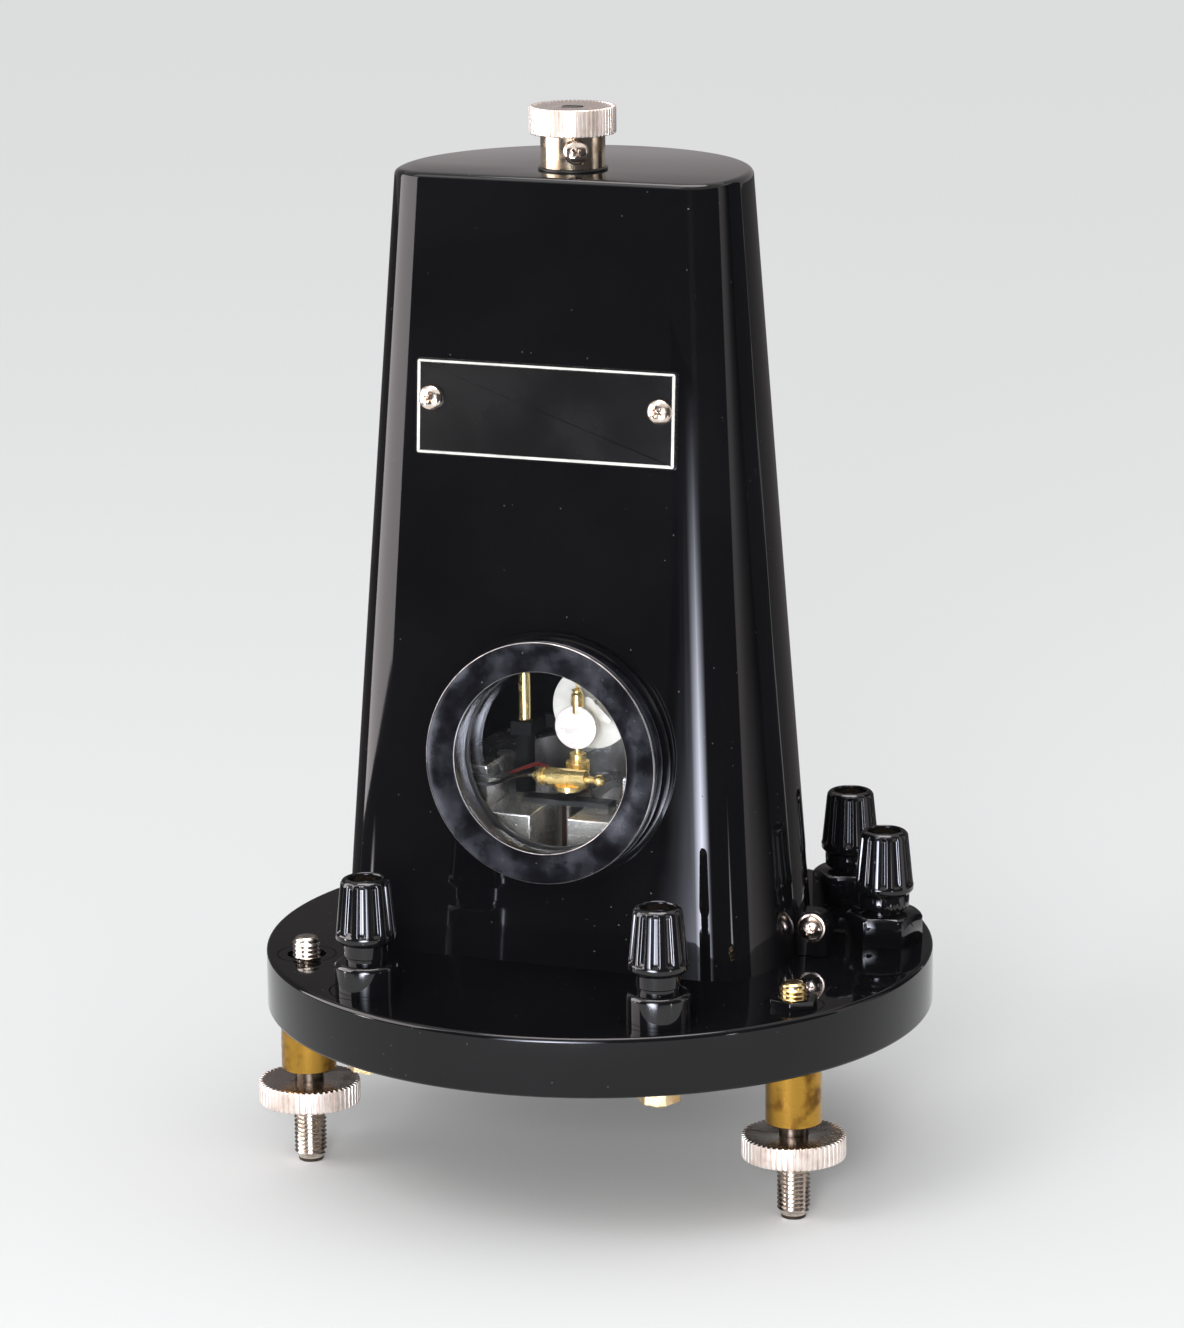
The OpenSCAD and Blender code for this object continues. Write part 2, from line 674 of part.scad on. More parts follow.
module head_lock_screw() {
    color("#d5c9b4") on_case_axis(collar_z + head_collar_h / 2 + lock_rise) rotate(lock_angle) rotate([0, 90, 0])
        translate([0, 0, head_collar_d / 2 + 0.2])
            pan_screw(screw_head_d, screw_head_h, screw_shank_d, (head_collar_d - spindle_d) / 2 - 0.2);
}

module head_knob() {
    color("#d3cabb") on_case_axis(head_z) difference() {
        knurled(head_d, head_t, head_knurls, 0.45);
        translate([0, 0, -1]) cylinder(d = spindle_d + 2 * run_gap, h = head_t + 2);
    }
}

module head_spindle() {
    h = head_z + head_t - 0.3 - spindle_foot;
    color("#b9903f") on_case_axis(spindle_foot) difference() {
        cylinder(d = spindle_d, h = h);
        translate([-spindle_d, -0.5, h - 1.2]) cube([2 * spindle_d, 1, 3]);
        translate([0, 0, -1]) cylinder(d = strip_w + 0.6, h = 7);
    }
}

module head_bridge() {
    color("#b08d3e") on_case_axis(bridge_z) difference() {
        translate([-pillar_dx - 5, -bridge_depth / 2, 0]) cube([2 * pillar_dx + 10, bridge_depth, bridge_t]);
        translate([0, 0, -1]) cylinder(d = spindle_d + 1, h = bridge_t + 2);
        translate([0, 0, bridge_t - 2]) cylinder(d = spigot_d + 0.2, h = 3);
        for (side = [-1, 1]) translate([side * pillar_dx, pillar_dy, -1])
            cylinder(d = pillar_d + 2 * run_gap, h = bridge_t + 2);
    }
}

module at_pillars() for (side = [-1, 1]) translate([side * pillar_dx, pillar_dy, 0]) children();

module pillar_rods() {
    color("#c39a45") on_case_axis(shoe_h) at_pillars()
        cylinder(d = pillar_d, h = bridge_z + bridge_t + pillar_nut_t + 1 - shoe_h);
}

module pillar_sleeves() {
    color("#1b1b1d") on_case_axis(shoe_h) at_pillars()
        tube(sleeve_d, pillar_d + 2 * run_gap, sleeve_top - bracket_h - shoe_h);
}

module pillar_nuts() {
    color("#c9c2b4") on_case_axis(bridge_z + bridge_t) at_pillars() difference() {
        hex_prism(pillar_nut_af, pillar_nut_t);
        translate([0, 0, -1]) cylinder(d = pillar_d + 2 * run_gap, h = 5);
    }
}

// U-shaped bracket, held on the sleeves by the two rods
module screen_bracket() {
    ear = 3.2;
    back = screen_y + screen_t;
    color("#1b1b1d") on_case_axis(sleeve_top - bracket_h) difference() {
        union() {
            translate([-pillar_dx - ear, back, 0]) cube([2 * (pillar_dx + ear), 1.6, bracket_h]);
            for (side = [-1, 1]) translate([side * pillar_dx - ear, pillar_dy - ear, 0])
                cube([2 * ear, back - pillar_dy + ear + 0.5, bracket_h]);
        }
        at_pillars() translate([0, 0, -1]) cylinder(d = pillar_d + 2 * run_gap, h = bracket_h + 2);
    }
}

// White disc behind the mirror, with a small flag and a pointer held out in front of it
module screen() {
    color("#f2efe6") on_case_axis(mirror_z) {
        translate([screen_dx, screen_y + screen_t, screen_rise]) rotate([90, 0, 0])
            cylinder(d = screen_d, h = screen_t);
        translate([flag[0], screen_y + 0.3, flag[1]]) rotate([90, 0, 0]) cylinder(d = 1.8, h = screen_y + 0.7 - flag_y);
        translate([0, flag_y, 0]) rotate([90, 0, 0]) linear_extrude(0.8) {
            translate(flag) circle(r = 2.5);
            polygon(pointer);
        }
    }
}

module magnet_plan(grow) {
    outer = magnet_in + magnet_limb + grow;
    inner = magnet_in - grow;
    front = shoe_front - shoe_flange;
    difference() {
        union() {
            intersection() {
                translate([0, magnet_back_y]) circle(r = outer, $fn = 96);
                translate([-outer, 0]) square(2 * outer);
            }
            translate([-outer, -front]) square([2 * outer, front + magnet_back_y]);
        }
        translate([0, magnet_back_y]) circle(r = inner, $fn = 96);
        translate([-inner, -front - 1]) square([2 * inner, front + magnet_back_y + 1]);
    }
}

module magnet() {
    bar = magnet_h / magnet_bars;
    seam = 0.5;
    color("#8d8f92") on_case_axis() {
        linear_extrude(magnet_h) magnet_plan(-0.4);
        for (k = [0:magnet_bars - 1]) translate([0, 0, k * bar]) linear_extrude(bar - seam) magnet_plan(0);
    }
}

// Soft iron shoe: flange before the limb, nose beside the coil, hollowed round the coil's axis
module pole_shoe(side) {
    nose = shoe_gap / 2;
    outer = magnet_in + magnet_limb;
    color("#b9bcc0") on_case_axis() difference() {
        linear_extrude(shoe_h) {
            translate([side > 0 ? nose : -outer, -shoe_front]) square([outer - nose, shoe_flange]);
            translate([side > 0 ? nose : -magnet_in + 0.2, -shoe_front])
                square([magnet_in - 0.2 - nose, shoe_front + shoe_back]);
        }
        translate([0, 0, -1]) cylinder(r = nose + 0.9, h = shoe_h + 2);
    }
}

module terminal_strip() {
    w = 26;
    d = 6;
    foot = bar_z - bar_d / 2;
    color("#b9903f") on_case_axis(shoe_h) {
        translate([-w / 2, bar_dy - d / 2, 0]) cube([w, d, bridge_strip_t]);
        translate([0, bar_dy, bridge_strip_t]) cylinder(r1 = 1.6, r2 = 4, h = foot - shoe_h - bridge_strip_t - 0.6);
    }
}

// Brass bar with a tinned cone at one end and a ball at the other
module terminal_bar() {
    r = bar_d / 2;
    color("#c9a04a") on_case_axis(bar_z) translate([0, bar_dy, 0]) rotate([0, 90, 0]) {
        rotate_extrude() polygon([
            [0, -11], [0.9, -11], [r - 0.1, -8.6], [r - 0.1, -7.6], [r - 0.7, -7.4], [r - 0.7, -6.6],
            [r, -6.2], [r, 5.2], [r - 0.4, 5.6], [1, 5.8], [1, 8.5], [0, 8.5]
        ]);
        translate([0, 0, 9.2]) sphere(r = 1.7);
    }
    color("#b9903f") on_case_axis(bar_z - r - 0.6) translate([0, bar_dy, 0]) cylinder(r = 4, h = 1.4);
}

module suspension_strip() {
    color("#c78f4d") on_case_axis(hook_top - 1.5)
        translate([-strip_w / 2, -0.1, 0]) cube([strip_w, 0.2, spindle_foot + 4 - hook_top + 1.5]);
}

// Hook, backing disc, neck, ring and stem: what joins the strip, the mirror and the coil
module mirror_cell() {
    color("#c39a45") on_case_axis() difference() {
        union() {
            translate([0, 0, mirror_z + 4]) cylinder(d = hook_d, h = hook_top - mirror_z - 4);
            translate([0, -mirror_dy + cell_t, mirror_z]) rotate([90, 0, 0]) cylinder(d = mirror_d - 1.5, h = cell_t + 0.6);
            translate([0, 0, coil_top + 0.1]) cylinder(d = 2.2, h = mirror_z - 4 - coil_top);
            translate([0, 0, ring_foot]) cylinder(d = ring_d, h = ring_h);
            translate([0, 0, ring_foot + ring_h - 0.1]) cylinder(d = neck_d, h = neck_h + 0.1);
        }
        translate([0, -mirror_dy - 5, mirror_z]) rotate([-90, 0, 0]) cylinder(d = mirror_d + 0.4, h = 5);
        translate([0, 0, hook_top - 1.5]) cylinder(d = strip_w + 0.6, h = 3);
    }
}

module mirror() {
    color("#e9ecee") on_case_axis(mirror_z) translate([0, -mirror_dy, 0]) rotate([90, 0, 0])
        cylinder(d = mirror_d, h = mirror_t);
}

module rounded(w, h, r) {
    square([w - 2 * r, h], center = true);
    square([w, h - 2 * r], center = true);
    for (x = [-1, 1]) for (y = [-1, 1]) translate([x * (w / 2 - r), y * (h / 2 - r)]) circle(r = r, $fn = 32);
}

module coil_plane(t) {
    on_case_axis(coil_foot + coil_h / 2) rotate([90, 0, 0]) translate([0, 0, -t / 2]) linear_extrude(t) children();
}

module coil_former() {
    w = coil_w - 2 * coil_wind;
    h = coil_h - 2 * coil_wind;
    color("#a9abad") coil_plane(coil_t - 0.6) difference() {
        rounded(w, h, 1.6);
        rounded(w - 1.6, h - 1.6, 0.9);
    }
}

module coil_winding() {
    color("#8a3f1c") coil_plane(coil_t) difference() {
        rounded(coil_w, coil_h, 3);
        rounded(coil_w - 2 * coil_wind, coil_h - 2 * coil_wind, 1.6);
    }
}

spring_foot = anchor_h + 0.3 + spring_wire / 2;
spring_rise = coil_foot - 0.2 - spring_wire - spring_foot;
spring_path = [for (i = [0:spring_turns * 8]) let (a = i * 45)
    concat(polar(spring_d / 2, a), [spring_foot + spring_rise * i / (spring_turns * 8)])];
spring_gap = min([for (i = [0:len(spring_path) - 5]) for (j = [i + 4:len(spring_path) - 1])
    norm(spring_path[i] - spring_path[j])]) - spring_wire;
echo(str("lower spring, least gap between its turns: ", spring_gap, " mm"));

module lower_spring() color("#b98a3a") on_case_axis() wire(spring_path, spring_wire, 6);

module lower_anchor() {
    color("#b9903f") on_case_axis() {
        cylinder(d = 8, h = 0.8);
        cylinder(d = spring_d + 1.4, h = anchor_h);
    }
}

// Two leads that rise from the base beside the magnet and cross its limb to the terminal bar
lead_feet = [[-48, -21], [-51, -18]];
black_lead = [[-48, -21, 58], [-48, -21, 75], [-47, -21, 95], [-42, -21, 107], [-34, -18.5, 109.3],
    [-27, -17, 108.4], [-22.5, -9, 108.6], [-20.6, -4, 108.4], [-18.9, -3, 108.4]];
red_lead = [[-51, -18, 58], [-51, -18, 76], [-50, -18, 98], [-45, -19, 110], [-36, -17, 111.6],
    [-27, -16.5, 110.6], [-22, -12, 111], [-19.5, -6, 111.3], [-17.4, -1.8, 111.4], [-13.6, 0.3, 109.6]];

module inner_leads() {
    color("#222224") wire(spline(black_lead, 4), lead_d, 8);
    color("#8e1c1c") wire(spline(red_lead, 4), lead_d, 8);
}

base();
case();
case_lugs();
case_screws();
window_flange();
window_bezel();
window_glass();
window_rings();
name_plate();
name_plate_screws();
foot_bushes();
foot_lock_nut();
foot_stud(0);  // foot_stud_left
foot_stud(1);  // foot_stud_right
foot_stud(2);  // foot_stud_back
foot_wheel(0);  // foot_wheel_left
foot_wheel(1);  // foot_wheel_right
foot_wheel(2);  // foot_wheel_back
post_body(0);  // post_body_front_left
post_body(1);  // post_body_front_right
post_body(2);  // post_body_side_near
post_body(3);  // post_body_side_far
post_stem(0);  // post_stem_front_left
post_stem(1);  // post_stem_front_right
post_stem(2);  // post_stem_side_near
post_stem(3);  // post_stem_side_far
post_insert(0);  // post_insert_front_left
post_insert(1);  // post_insert_front_right
post_insert(2);  // post_insert_side_near
post_insert(3);  // post_insert_side_far
post_cap(0);  // post_cap_front_left
post_cap(1);  // post_cap_front_right
post_cap(2);  // post_cap_side_near
post_cap(3);  // post_cap_side_far
post_washers();
post_nuts();
head_washer();
head_collar();
head_lock_screw();
head_knob();
head_spindle();
head_bridge();
pillar_rods();
pillar_sleeves();
pillar_nuts();
screen_bracket();
screen();
magnet();
pole_shoe(-1);  // pole_shoe_left
pole_shoe(1);  // pole_shoe_right
terminal_strip();
terminal_bar();
suspension_strip();
mirror_cell();
mirror();
coil_former();
coil_winding();
lower_spring();
lower_anchor();
inner_leads();
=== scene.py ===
import math

import bmesh
import bpy
from mathutils import Matrix, Vector


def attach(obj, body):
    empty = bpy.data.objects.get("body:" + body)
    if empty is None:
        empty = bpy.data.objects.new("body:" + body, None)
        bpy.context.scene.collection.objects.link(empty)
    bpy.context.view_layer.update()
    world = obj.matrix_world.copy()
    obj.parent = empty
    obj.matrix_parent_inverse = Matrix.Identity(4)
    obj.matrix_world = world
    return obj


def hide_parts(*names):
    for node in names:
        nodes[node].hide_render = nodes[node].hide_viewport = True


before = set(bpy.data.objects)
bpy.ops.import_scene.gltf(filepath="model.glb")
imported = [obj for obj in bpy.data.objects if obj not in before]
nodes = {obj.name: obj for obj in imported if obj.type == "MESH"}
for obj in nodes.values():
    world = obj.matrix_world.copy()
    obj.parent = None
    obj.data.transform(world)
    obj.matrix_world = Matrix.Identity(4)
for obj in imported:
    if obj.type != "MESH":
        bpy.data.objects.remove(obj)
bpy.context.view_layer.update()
mm = 0.001
print("frame loaded:", len(nodes), "nodes")

view = {
    "lens": 140.96, "sensor": 36.0,      # for a picture 1184 wide and 1328 high
    "distance": 1484.86, "elevation": 13.57, "azimuth": 21.04, "roll": -0.50,
    "aimRight": -1.52, "aimUp": 78.20, "aimHeight": 61.0,
    "nearest": 0.05, "farthest": 20,     # metres
}


def makeCamera(v):
    el, az, roll = (math.radians(v[k]) for k in ("elevation", "azimuth", "roll"))
    back = Vector((math.sin(az) * math.cos(el), -math.cos(az) * math.cos(el), math.sin(el)))
    right = Vector((math.cos(az), math.sin(az), 0))
    up = back.cross(right)
    aim = right * v["aimRight"] + up * v["aimUp"] + Vector((0, 0, v["aimHeight"]))
    place = (aim + back * v["distance"]) * mm
    side = right * math.cos(roll) + up * math.sin(roll)
    top = up * math.cos(roll) - right * math.sin(roll)
    data = bpy.data.cameras.new("camera")
    data.lens, data.sensor_width, data.sensor_fit = v["lens"], v["sensor"], "AUTO"
    data.clip_start, data.clip_end = v["nearest"], v["farthest"]
    camera = bpy.data.objects.new("camera", data)
    turn = Matrix((side, top, back)).transposed().to_4x4()
    camera.matrix_world = Matrix.Translation(place) @ turn
    bpy.context.scene.collection.objects.link(camera)
    bpy.context.scene.camera = camera


makeCamera(view)
print("camera placed")


# a value or another node's output, whichever it is given
def feed(tree, socket, v):
    if hasattr(v, "is_linked"):
        tree.links.new(v, socket)
    else:
        socket.default_value = v


# inputs go by name or number, and the rest are the node's own options
def addNode(tree, kind, inputs=None, **options):
    n = tree.nodes.new(kind)
    for name, v in options.items():
        setattr(n, name, v)
    for name, v in (inputs or {}).items():
        feed(tree, n.inputs[name], v)
    return n


def mathNode(tree, operation, *values):
    return addNode(tree, "ShaderNodeMath", dict(enumerate(values)), operation=operation).outputs[0]


def smoothRange(tree, value, low, high, outLow=0.0, outHigh=1.0):
    limits = {"Value": value, "From Min": low, "From Max": high, "To Min": outLow, "To Max": outHigh}
    return addNode(tree, "ShaderNodeMapRange", limits, interpolation_type="SMOOTHSTEP").outputs["Result"]


def mapTo(tree, value, low, high):
    limits = {"Value": value, "To Min": low, "To Max": high}
    return addNode(tree, "ShaderNodeMapRange", limits).outputs["Result"]


# new node group with rows of (name, kind, first value) going in and (name, kind) coming out
def newGroup(name, treeKind, inputs, output):
    tree = bpy.data.node_groups.new(name, treeKind)
    for label, kind, value in inputs:
        s = tree.interface.new_socket(name=label, in_out="INPUT", socket_type="NodeSocket" + kind)
        if value is not None:
            s.default_value = value
    label, kind = output
    tree.interface.new_socket(name=label, in_out="OUTPUT", socket_type="NodeSocket" + kind)
    return tree, tree.nodes.new("NodeGroupInput").outputs, tree.nodes.new("NodeGroupOutput").inputs


# cloudy mask: soft patches over the surface, such as stains, handling marks and tarnish
def makeCloudGroup():
    tree, start, end = newGroup("cloudyPatches", "ShaderNodeTree", [
        ("Vector", "Vector", None), ("Scale", "Float", 60.0), ("Detail", "Float", 4.0),
        ("Low", "Float", 0.4), ("High", "Float", 0.65)], ("Mask", "Float"))
    noise = addNode(tree, "ShaderNodeTexNoise", {k: start[k] for k in ("Vector", "Scale", "Detail")})
    feed(tree, end["Mask"], smoothRange(tree, noise.outputs["Fac"], start["Low"], start["High"]))
    return tree


# specks of dust and pinholes: tiny dots at random cells
def makeSpeckGroup():
    tree, start, end = newGroup("dustSpecks", "ShaderNodeTree", [
        ("Vector", "Vector", None), ("Scale", "Float", 300.0), ("Size", "Float", 0.12),
        ("Share", "Float", 0.2)], ("Mask", "Float"))
    cells = addNode(tree, "ShaderNodeTexVoronoi", {k: start[k] for k in ("Vector", "Scale")})
    dot = mathNode(tree, "LESS_THAN", cells.outputs["Distance"], start["Size"])
    split = addNode(tree, "ShaderNodeSeparateColor", {0: cells.outputs["Color"]})
    few = mathNode(tree, "LESS_THAN", split.outputs[0], start["Share"])
    feed(tree, end["Mask"], mathNode(tree, "MULTIPLY", dot, few))
    return tree


# fine machining or polishing marks, stretched along one axis
def makeGrainGroup():
    tree, start, end = newGroup("toolMarks", "ShaderNodeTree", [
        ("Vector", "Vector", None), ("Stretch", "Vector", (1, 1, 30)), ("Scale", "Float", 200.0)],
        ("Height", "Float"))
    mapping = addNode(tree, "ShaderNodeMapping", {"Vector": start["Vector"], "Scale": start["Stretch"]})
    noise = addNode(tree, "ShaderNodeTexNoise", {
        "Detail": 3, "Vector": mapping.outputs["Vector"], "Scale": start["Scale"]})
    feed(tree, end["Height"], noise.outputs["Fac"])
    return tree


cloudGroup, speckGroup, grainGroup = makeCloudGroup(), makeSpeckGroup(), makeGrainGroup()


def placeGroup(tree, group, **values):
    return addNode(tree, "ShaderNodeGroup", values, node_tree=group).outputs[0]


def newMaterial(name, **sockets):
    m = bpy.data.materials.new(name)
    m.use_nodes = True
    shader = m.node_tree.nodes["Principled BSDF"].inputs
    for label, v in sockets.items():
        shader[label.replace("_", " ")].default_value = v
    coords = m.node_tree.nodes.new("ShaderNodeTexCoord").outputs["Object"]
    return m, m.node_tree, shader, coords


def blendColour(tree, fac, a, b):
    return addNode(tree, "ShaderNodeMix", {0: fac, 6: a, 7: b}, data_type="RGBA").outputs[2]


def bump(tree, shader, height, strength, distance):
    n = addNode(tree, "ShaderNodeBump", {"Strength": strength, "Distance": distance, "Height": height})
    feed(tree, shader["Normal"], n.outputs["Normal"])


enamelLook = {
    "colour": (0.0048, 0.0048, 0.0055, 1), "smear": (0.0065, 0.0064, 0.0075, 1), "patch": 28.0,
    "dust": (0.06, 0.06, 0.065, 1), "gloss": (0.02, 0.07), "specular": 0.3, "ripple": 0.03,
    "smears": {"Low": 0.35, "High": 0.7}, "specks": {"Scale": 420.0, "Size": 0.1, "Share": 0.12},
    "dustCover": 0.5, "dustDulling": 0.3,
    "ripples": {"Scale": 55.0, "Detail": 1.0, "Low": 0.0, "High": 1.0}, "rippleDepth": 0.0004,
}


def makeEnamel(name, **changes):
    look = {**enamelLook, **changes}
    m, tree, shader, at = newMaterial(name, Specular_IOR_Level=look["specular"])
    haze = placeGroup(tree, cloudGroup, Vector=at, Scale=look["patch"], **look["smears"])
    specks = placeGroup(tree, speckGroup, Vector=at, **look["specks"])
    smeared = blendColour(tree, haze, look["colour"], look["smear"])
    cover = mathNode(tree, "MULTIPLY", specks, look["dustCover"])
    dusty = blendColour(tree, cover, smeared, look["dust"])
    feed(tree, shader["Base Color"], dusty)
    dulling = mathNode(tree, "MULTIPLY", specks, look["dustDulling"])
    feed(tree, shader["Roughness"], mathNode(tree, "ADD", mapTo(tree, haze, *look["gloss"]), dulling))
    soft = placeGroup(tree, cloudGroup, Vector=at, **look["ripples"])
    bump(tree, shader, soft, look["ripple"], look["rippleDepth"])
    return m


metalLooks = {
    # clean and worn colours, smoothest and roughest, size of the patches, then metallic and grain
    "nickel": ((0.80, 0.72, 0.66), (0.50, 0.41, 0.35), (0.16, 0.32), 170.0),
    "knurlPaintedSheen": ((0.88, 0.80, 0.745), (0.66, 0.56, 0.49), (0.3, 0.45), 240.0, 0.65),
    "rimPaintedHighlight": ((0.52, 0.49, 0.48), (0.22, 0.20, 0.19), (0.3, 0.45), 300.0, 0.8),
    "oiledSteelAndPaintedShade": ((0.10, 0.08, 0.06), (0.05, 0.04, 0.03), (0.25, 0.4), 300.0),
    "studNickel": ((0.72, 0.66, 0.60), (0.50, 0.43, 0.36), (0.16, 0.3), 600.0),
    "screwNickel": ((0.86, 0.74, 0.64), (0.52, 0.41, 0.33), (0.12, 0.26), 300.0),
    "plateEdge": ((0.60, 0.60, 0.60), (0.30, 0.30, 0.30), (0.25, 0.4), 200.0),
    "brassStud": ((0.66, 0.49, 0.22), (0.50, 0.38, 0.21), (0.16, 0.3), 600.0),
    "warmNickel": ((0.84, 0.72, 0.56), (0.48, 0.36, 0.24), (0.14, 0.32), 190.0),
    # a dark brass with worn patches, whose colour is also lowered as painted shade for the bushes under the
    # base
    "brass": ((0.47, 0.26, 0.045), (0.15, 0.07, 0.013), (0.16, 0.36), 170.0),
    "freshBrass": ((0.86, 0.66, 0.38), (0.62, 0.42, 0.20), (0.2, 0.36), 160.0),
    "brightBrass": ((1.0, 0.77, 0.34), (0.90, 0.65, 0.25), (0.2, 0.32), 200.0, 0.85, 0.03),
    "magnetSteel": ((0.62, 0.61, 0.61), (0.40, 0.39, 0.38), (0.2, 0.34), 90.0, 0.94, 0.05),
    "softIron": ((0.94, 0.92, 0.87), (0.70, 0.66, 0.60), (0.18, 0.3), 110.0, 0.86, 0.04),
}

metalWear = {
    "patches": {"Low": 0.42, "High": 0.72}, "pits": {"Scale": 1500.0, "Size": 0.2, "Share": 0.15},
    "pitShare": 0.8, "marks": {"Stretch": (1, 1, 12), "Scale": 350.0}, "markDepth": 0.00006,
}


def makeMetal(name, clean, worn, gloss, patch, metallic=1.0, grain=0.12):
    w = metalWear
    m, tree, shader, at = newMaterial(name, Metallic=metallic)
    patches = placeGroup(tree, cloudGroup, Vector=at, Scale=patch, **w["patches"])
    pits = placeGroup(tree, speckGroup, Vector=at, **w["pits"])
    wear = mathNode(tree, "MAXIMUM", patches, mathNode(tree, "MULTIPLY", pits, w["pitShare"]))
    feed(tree, shader["Base Color"], blendColour(tree, wear, (*clean, 1), (*worn, 1)))
    feed(tree, shader["Roughness"], mapTo(tree, wear, *gloss))
    marks = placeGroup(tree, grainGroup, Vector=at, **w["marks"])
    bump(tree, shader, marks, grain, w["markDepth"])
    return m


plainWear = {"patches": {"Low": 0.3, "High": 0.75}, "grain": {"Stretch": (1, 1, 1), "Scale": 900.0},
             "grainStrength": 0.05, "grainDepth": 0.00005}


def makePlain(name, colour, rough, specular=0.5, patch=140.0, spread=0.1, dulling=0.7, metallic=0.0):
    w = plainWear
    m, tree, shader, at = newMaterial(name, Specular_IOR_Level=specular, Metallic=metallic)
    haze = placeGroup(tree, cloudGroup, Vector=at, Scale=patch, **w["patches"])
    dull = tuple(c * dulling for c in colour)
    feed(tree, shader["Base Color"], blendColour(tree, haze, (*colour, 1), (*dull, 1)))
    feed(tree, shader["Roughness"], mapTo(tree, haze, rough, rough + spread))
    grain = placeGroup(tree, grainGroup, Vector=at, **w["grain"])
    bump(tree, shader, grain, w["grainStrength"], w["grainDepth"])
    return m


def makeGlass():
    m, tree, shader, at = newMaterial("clearGlass", Roughness=0.0, IOR=1.45, Transmission_Weight=1.0)
    wiped = placeGroup(tree, cloudGroup, Vector=at, Scale=70.0, Low=0.45, High=0.8)
    tinted = blendColour(tree, wiped, (0.96, 0.98, 0.98, 1), (0.91, 0.93, 0.93, 1))
    feed(tree, shader["Base Color"], tinted)
    return m


enamel = makeEnamel("blackEnamel")
moulding = makeEnamel("blackMoulding", colour=(0.005, 0.005, 0.006, 1), gloss=(0.03, 0.08), specular=0.5,
                      ripple=0.05)
metals = {k: makeMetal(k, *v) for k, v in metalLooks.items()}
rimBlack = makeEnamel("rimBlack", colour=(0.005, 0.005, 0.007, 1), smear=(0.021, 0.022, 0.03, 1),
                      gloss=(0.1, 0.28), specular=0.5, ripple=0.1, patch=110.0)
glossBlack = makeEnamel("glossBlack", gloss=(0.08, 0.16), specular=0.5)
plateBlack = makePlain("plateBlack", (0.0062, 0.0062, 0.0065), 0.22, specular=0.3, patch=60.0, spread=0.08)
satinBlack = makePlain("satinBlack", (0.012, 0.012, 0.013), 0.32)
innerBlack = makePlain("dullInside", (0.0035, 0.0035, 0.0035), 0.75, specular=0.12)
whitePaint = makePlain("whitePaint", (0.80, 0.79, 0.74), 0.45)
whiteCard = makePlain("whiteCard", (0.88, 0.86, 0.80), 0.5)
blackSleeve = makePlain("blackSleeve", (0.01, 0.01, 0.01), 0.4)
redSleeve = makePlain("redSleeve", (0.10, 0.004, 0.004), 0.4)
# painted shade: the enamelled copper winding is coloured near black, which stands in for the shade in the gap
# between the pole shoes
windingPaintedShade = makePlain("enamelledWireInPaintedShade", (0.03, 0.012, 0.006), 0.3)
# painted reflection: the mirror is coloured a pale pinkish white and kept mostly non-metallic, which stands in
# for the bright reflection in it
mirrorPaintedReflection = makePlain("paintedMirrorReflection", (0.82, 0.75, 0.71), 0.25, specular=0.6, patch=260.0,
                        dulling=0.93, metallic=0.15)
glass = makeGlass()
print("materials made")

weld = 1e-6      # metres: points closer than this are one
onAxis = 1e-9    # millimetres: a smaller radius is on the axis


def linkMesh(name, mesh):
    o = bpy.data.objects.new(name, mesh)
    bpy.context.scene.collection.objects.link(o)
    return o


def meshFrom(b, name):
    mesh = bpy.data.meshes.new(name)
    b.to_mesh(mesh)
    b.free()
    return mesh


def smoothMesh(mesh, angle):
    mesh.shade_smooth()
    mesh.set_sharp_from_angle(angle=math.radians(angle))


def finishMesh(mesh, angle=35, turnOut=True):
    b = bmesh.new()
    b.from_mesh(mesh)
    bmesh.ops.remove_doubles(b, verts=b.verts, dist=weld)
    bmesh.ops.dissolve_degenerate(b, edges=b.edges, dist=weld / 2)
    if turnOut:
        bmesh.ops.recalc_face_normals(b, faces=b.faces)
    b.to_mesh(mesh)
    b.free()
    smoothMesh(mesh, angle)


# solid or ring of revolution from a profile of (radius, height) in millimetres
def turned(name, profile, segments=96, place=None, angle=35):
    b = bmesh.new()
    rings = []
    angles = [2 * math.pi * k / segments for k in range(segments)]
    for r, z in profile:
        if r < onAxis:
            rings.append([b.verts.new((0, 0, z * mm))])
        else:
            rings.append([b.verts.new((r * mm * math.cos(t), r * mm * math.sin(t), z * mm)) for t in angles])
    closed = len(rings[0]) > 1 and len(rings[-1]) > 1
    pairs = list(zip(rings, rings[1:])) + ([(rings[-1], rings[0])] if closed else [])
    for low, high in pairs:
        for k in range(segments):
            j = (k + 1) % segments
            corners = []
            for v in (low[k % len(low)], low[j % len(low)], high[j % len(high)], high[k % len(high)]):
                if v not in corners:
                    corners.append(v)
            if len(corners) > 2:
                b.faces.new(corners)
    mesh = meshFrom(b, name)
    if place is not None:
        mesh.transform(place)
    finishMesh(mesh, angle)
    return linkMesh(name, mesh)


def joinAs(name, parts):
    b = bmesh.new()
    for p in parts:
        b.from_mesh(p.data)
    mesh = meshFrom(b, name)
    for p in parts:
        bpy.data.objects.remove(p)
    smoothMesh(mesh, 35)
    return linkMesh(name, mesh)


def addMaterials(mesh, *materials):
    for m in materials:
        mesh.materials.append(m)


# this also takes every face back to the first finish
def setMaterials(mesh, *materials):
    mesh.materials.clear()
    addMaterials(mesh, *materials)


# second finish on the faces that a test picks out
def finishFaces(mesh, material, test):
    mesh.materials.append(material)
    for f in mesh.polygons:
        if test(f):
            f.material_index = len(mesh.materials) - 1


def put(piece, material, body, *replaced):
    if material is not None:
        setMaterials(piece.data, material)
    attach(piece, body)
    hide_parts(*replaced)


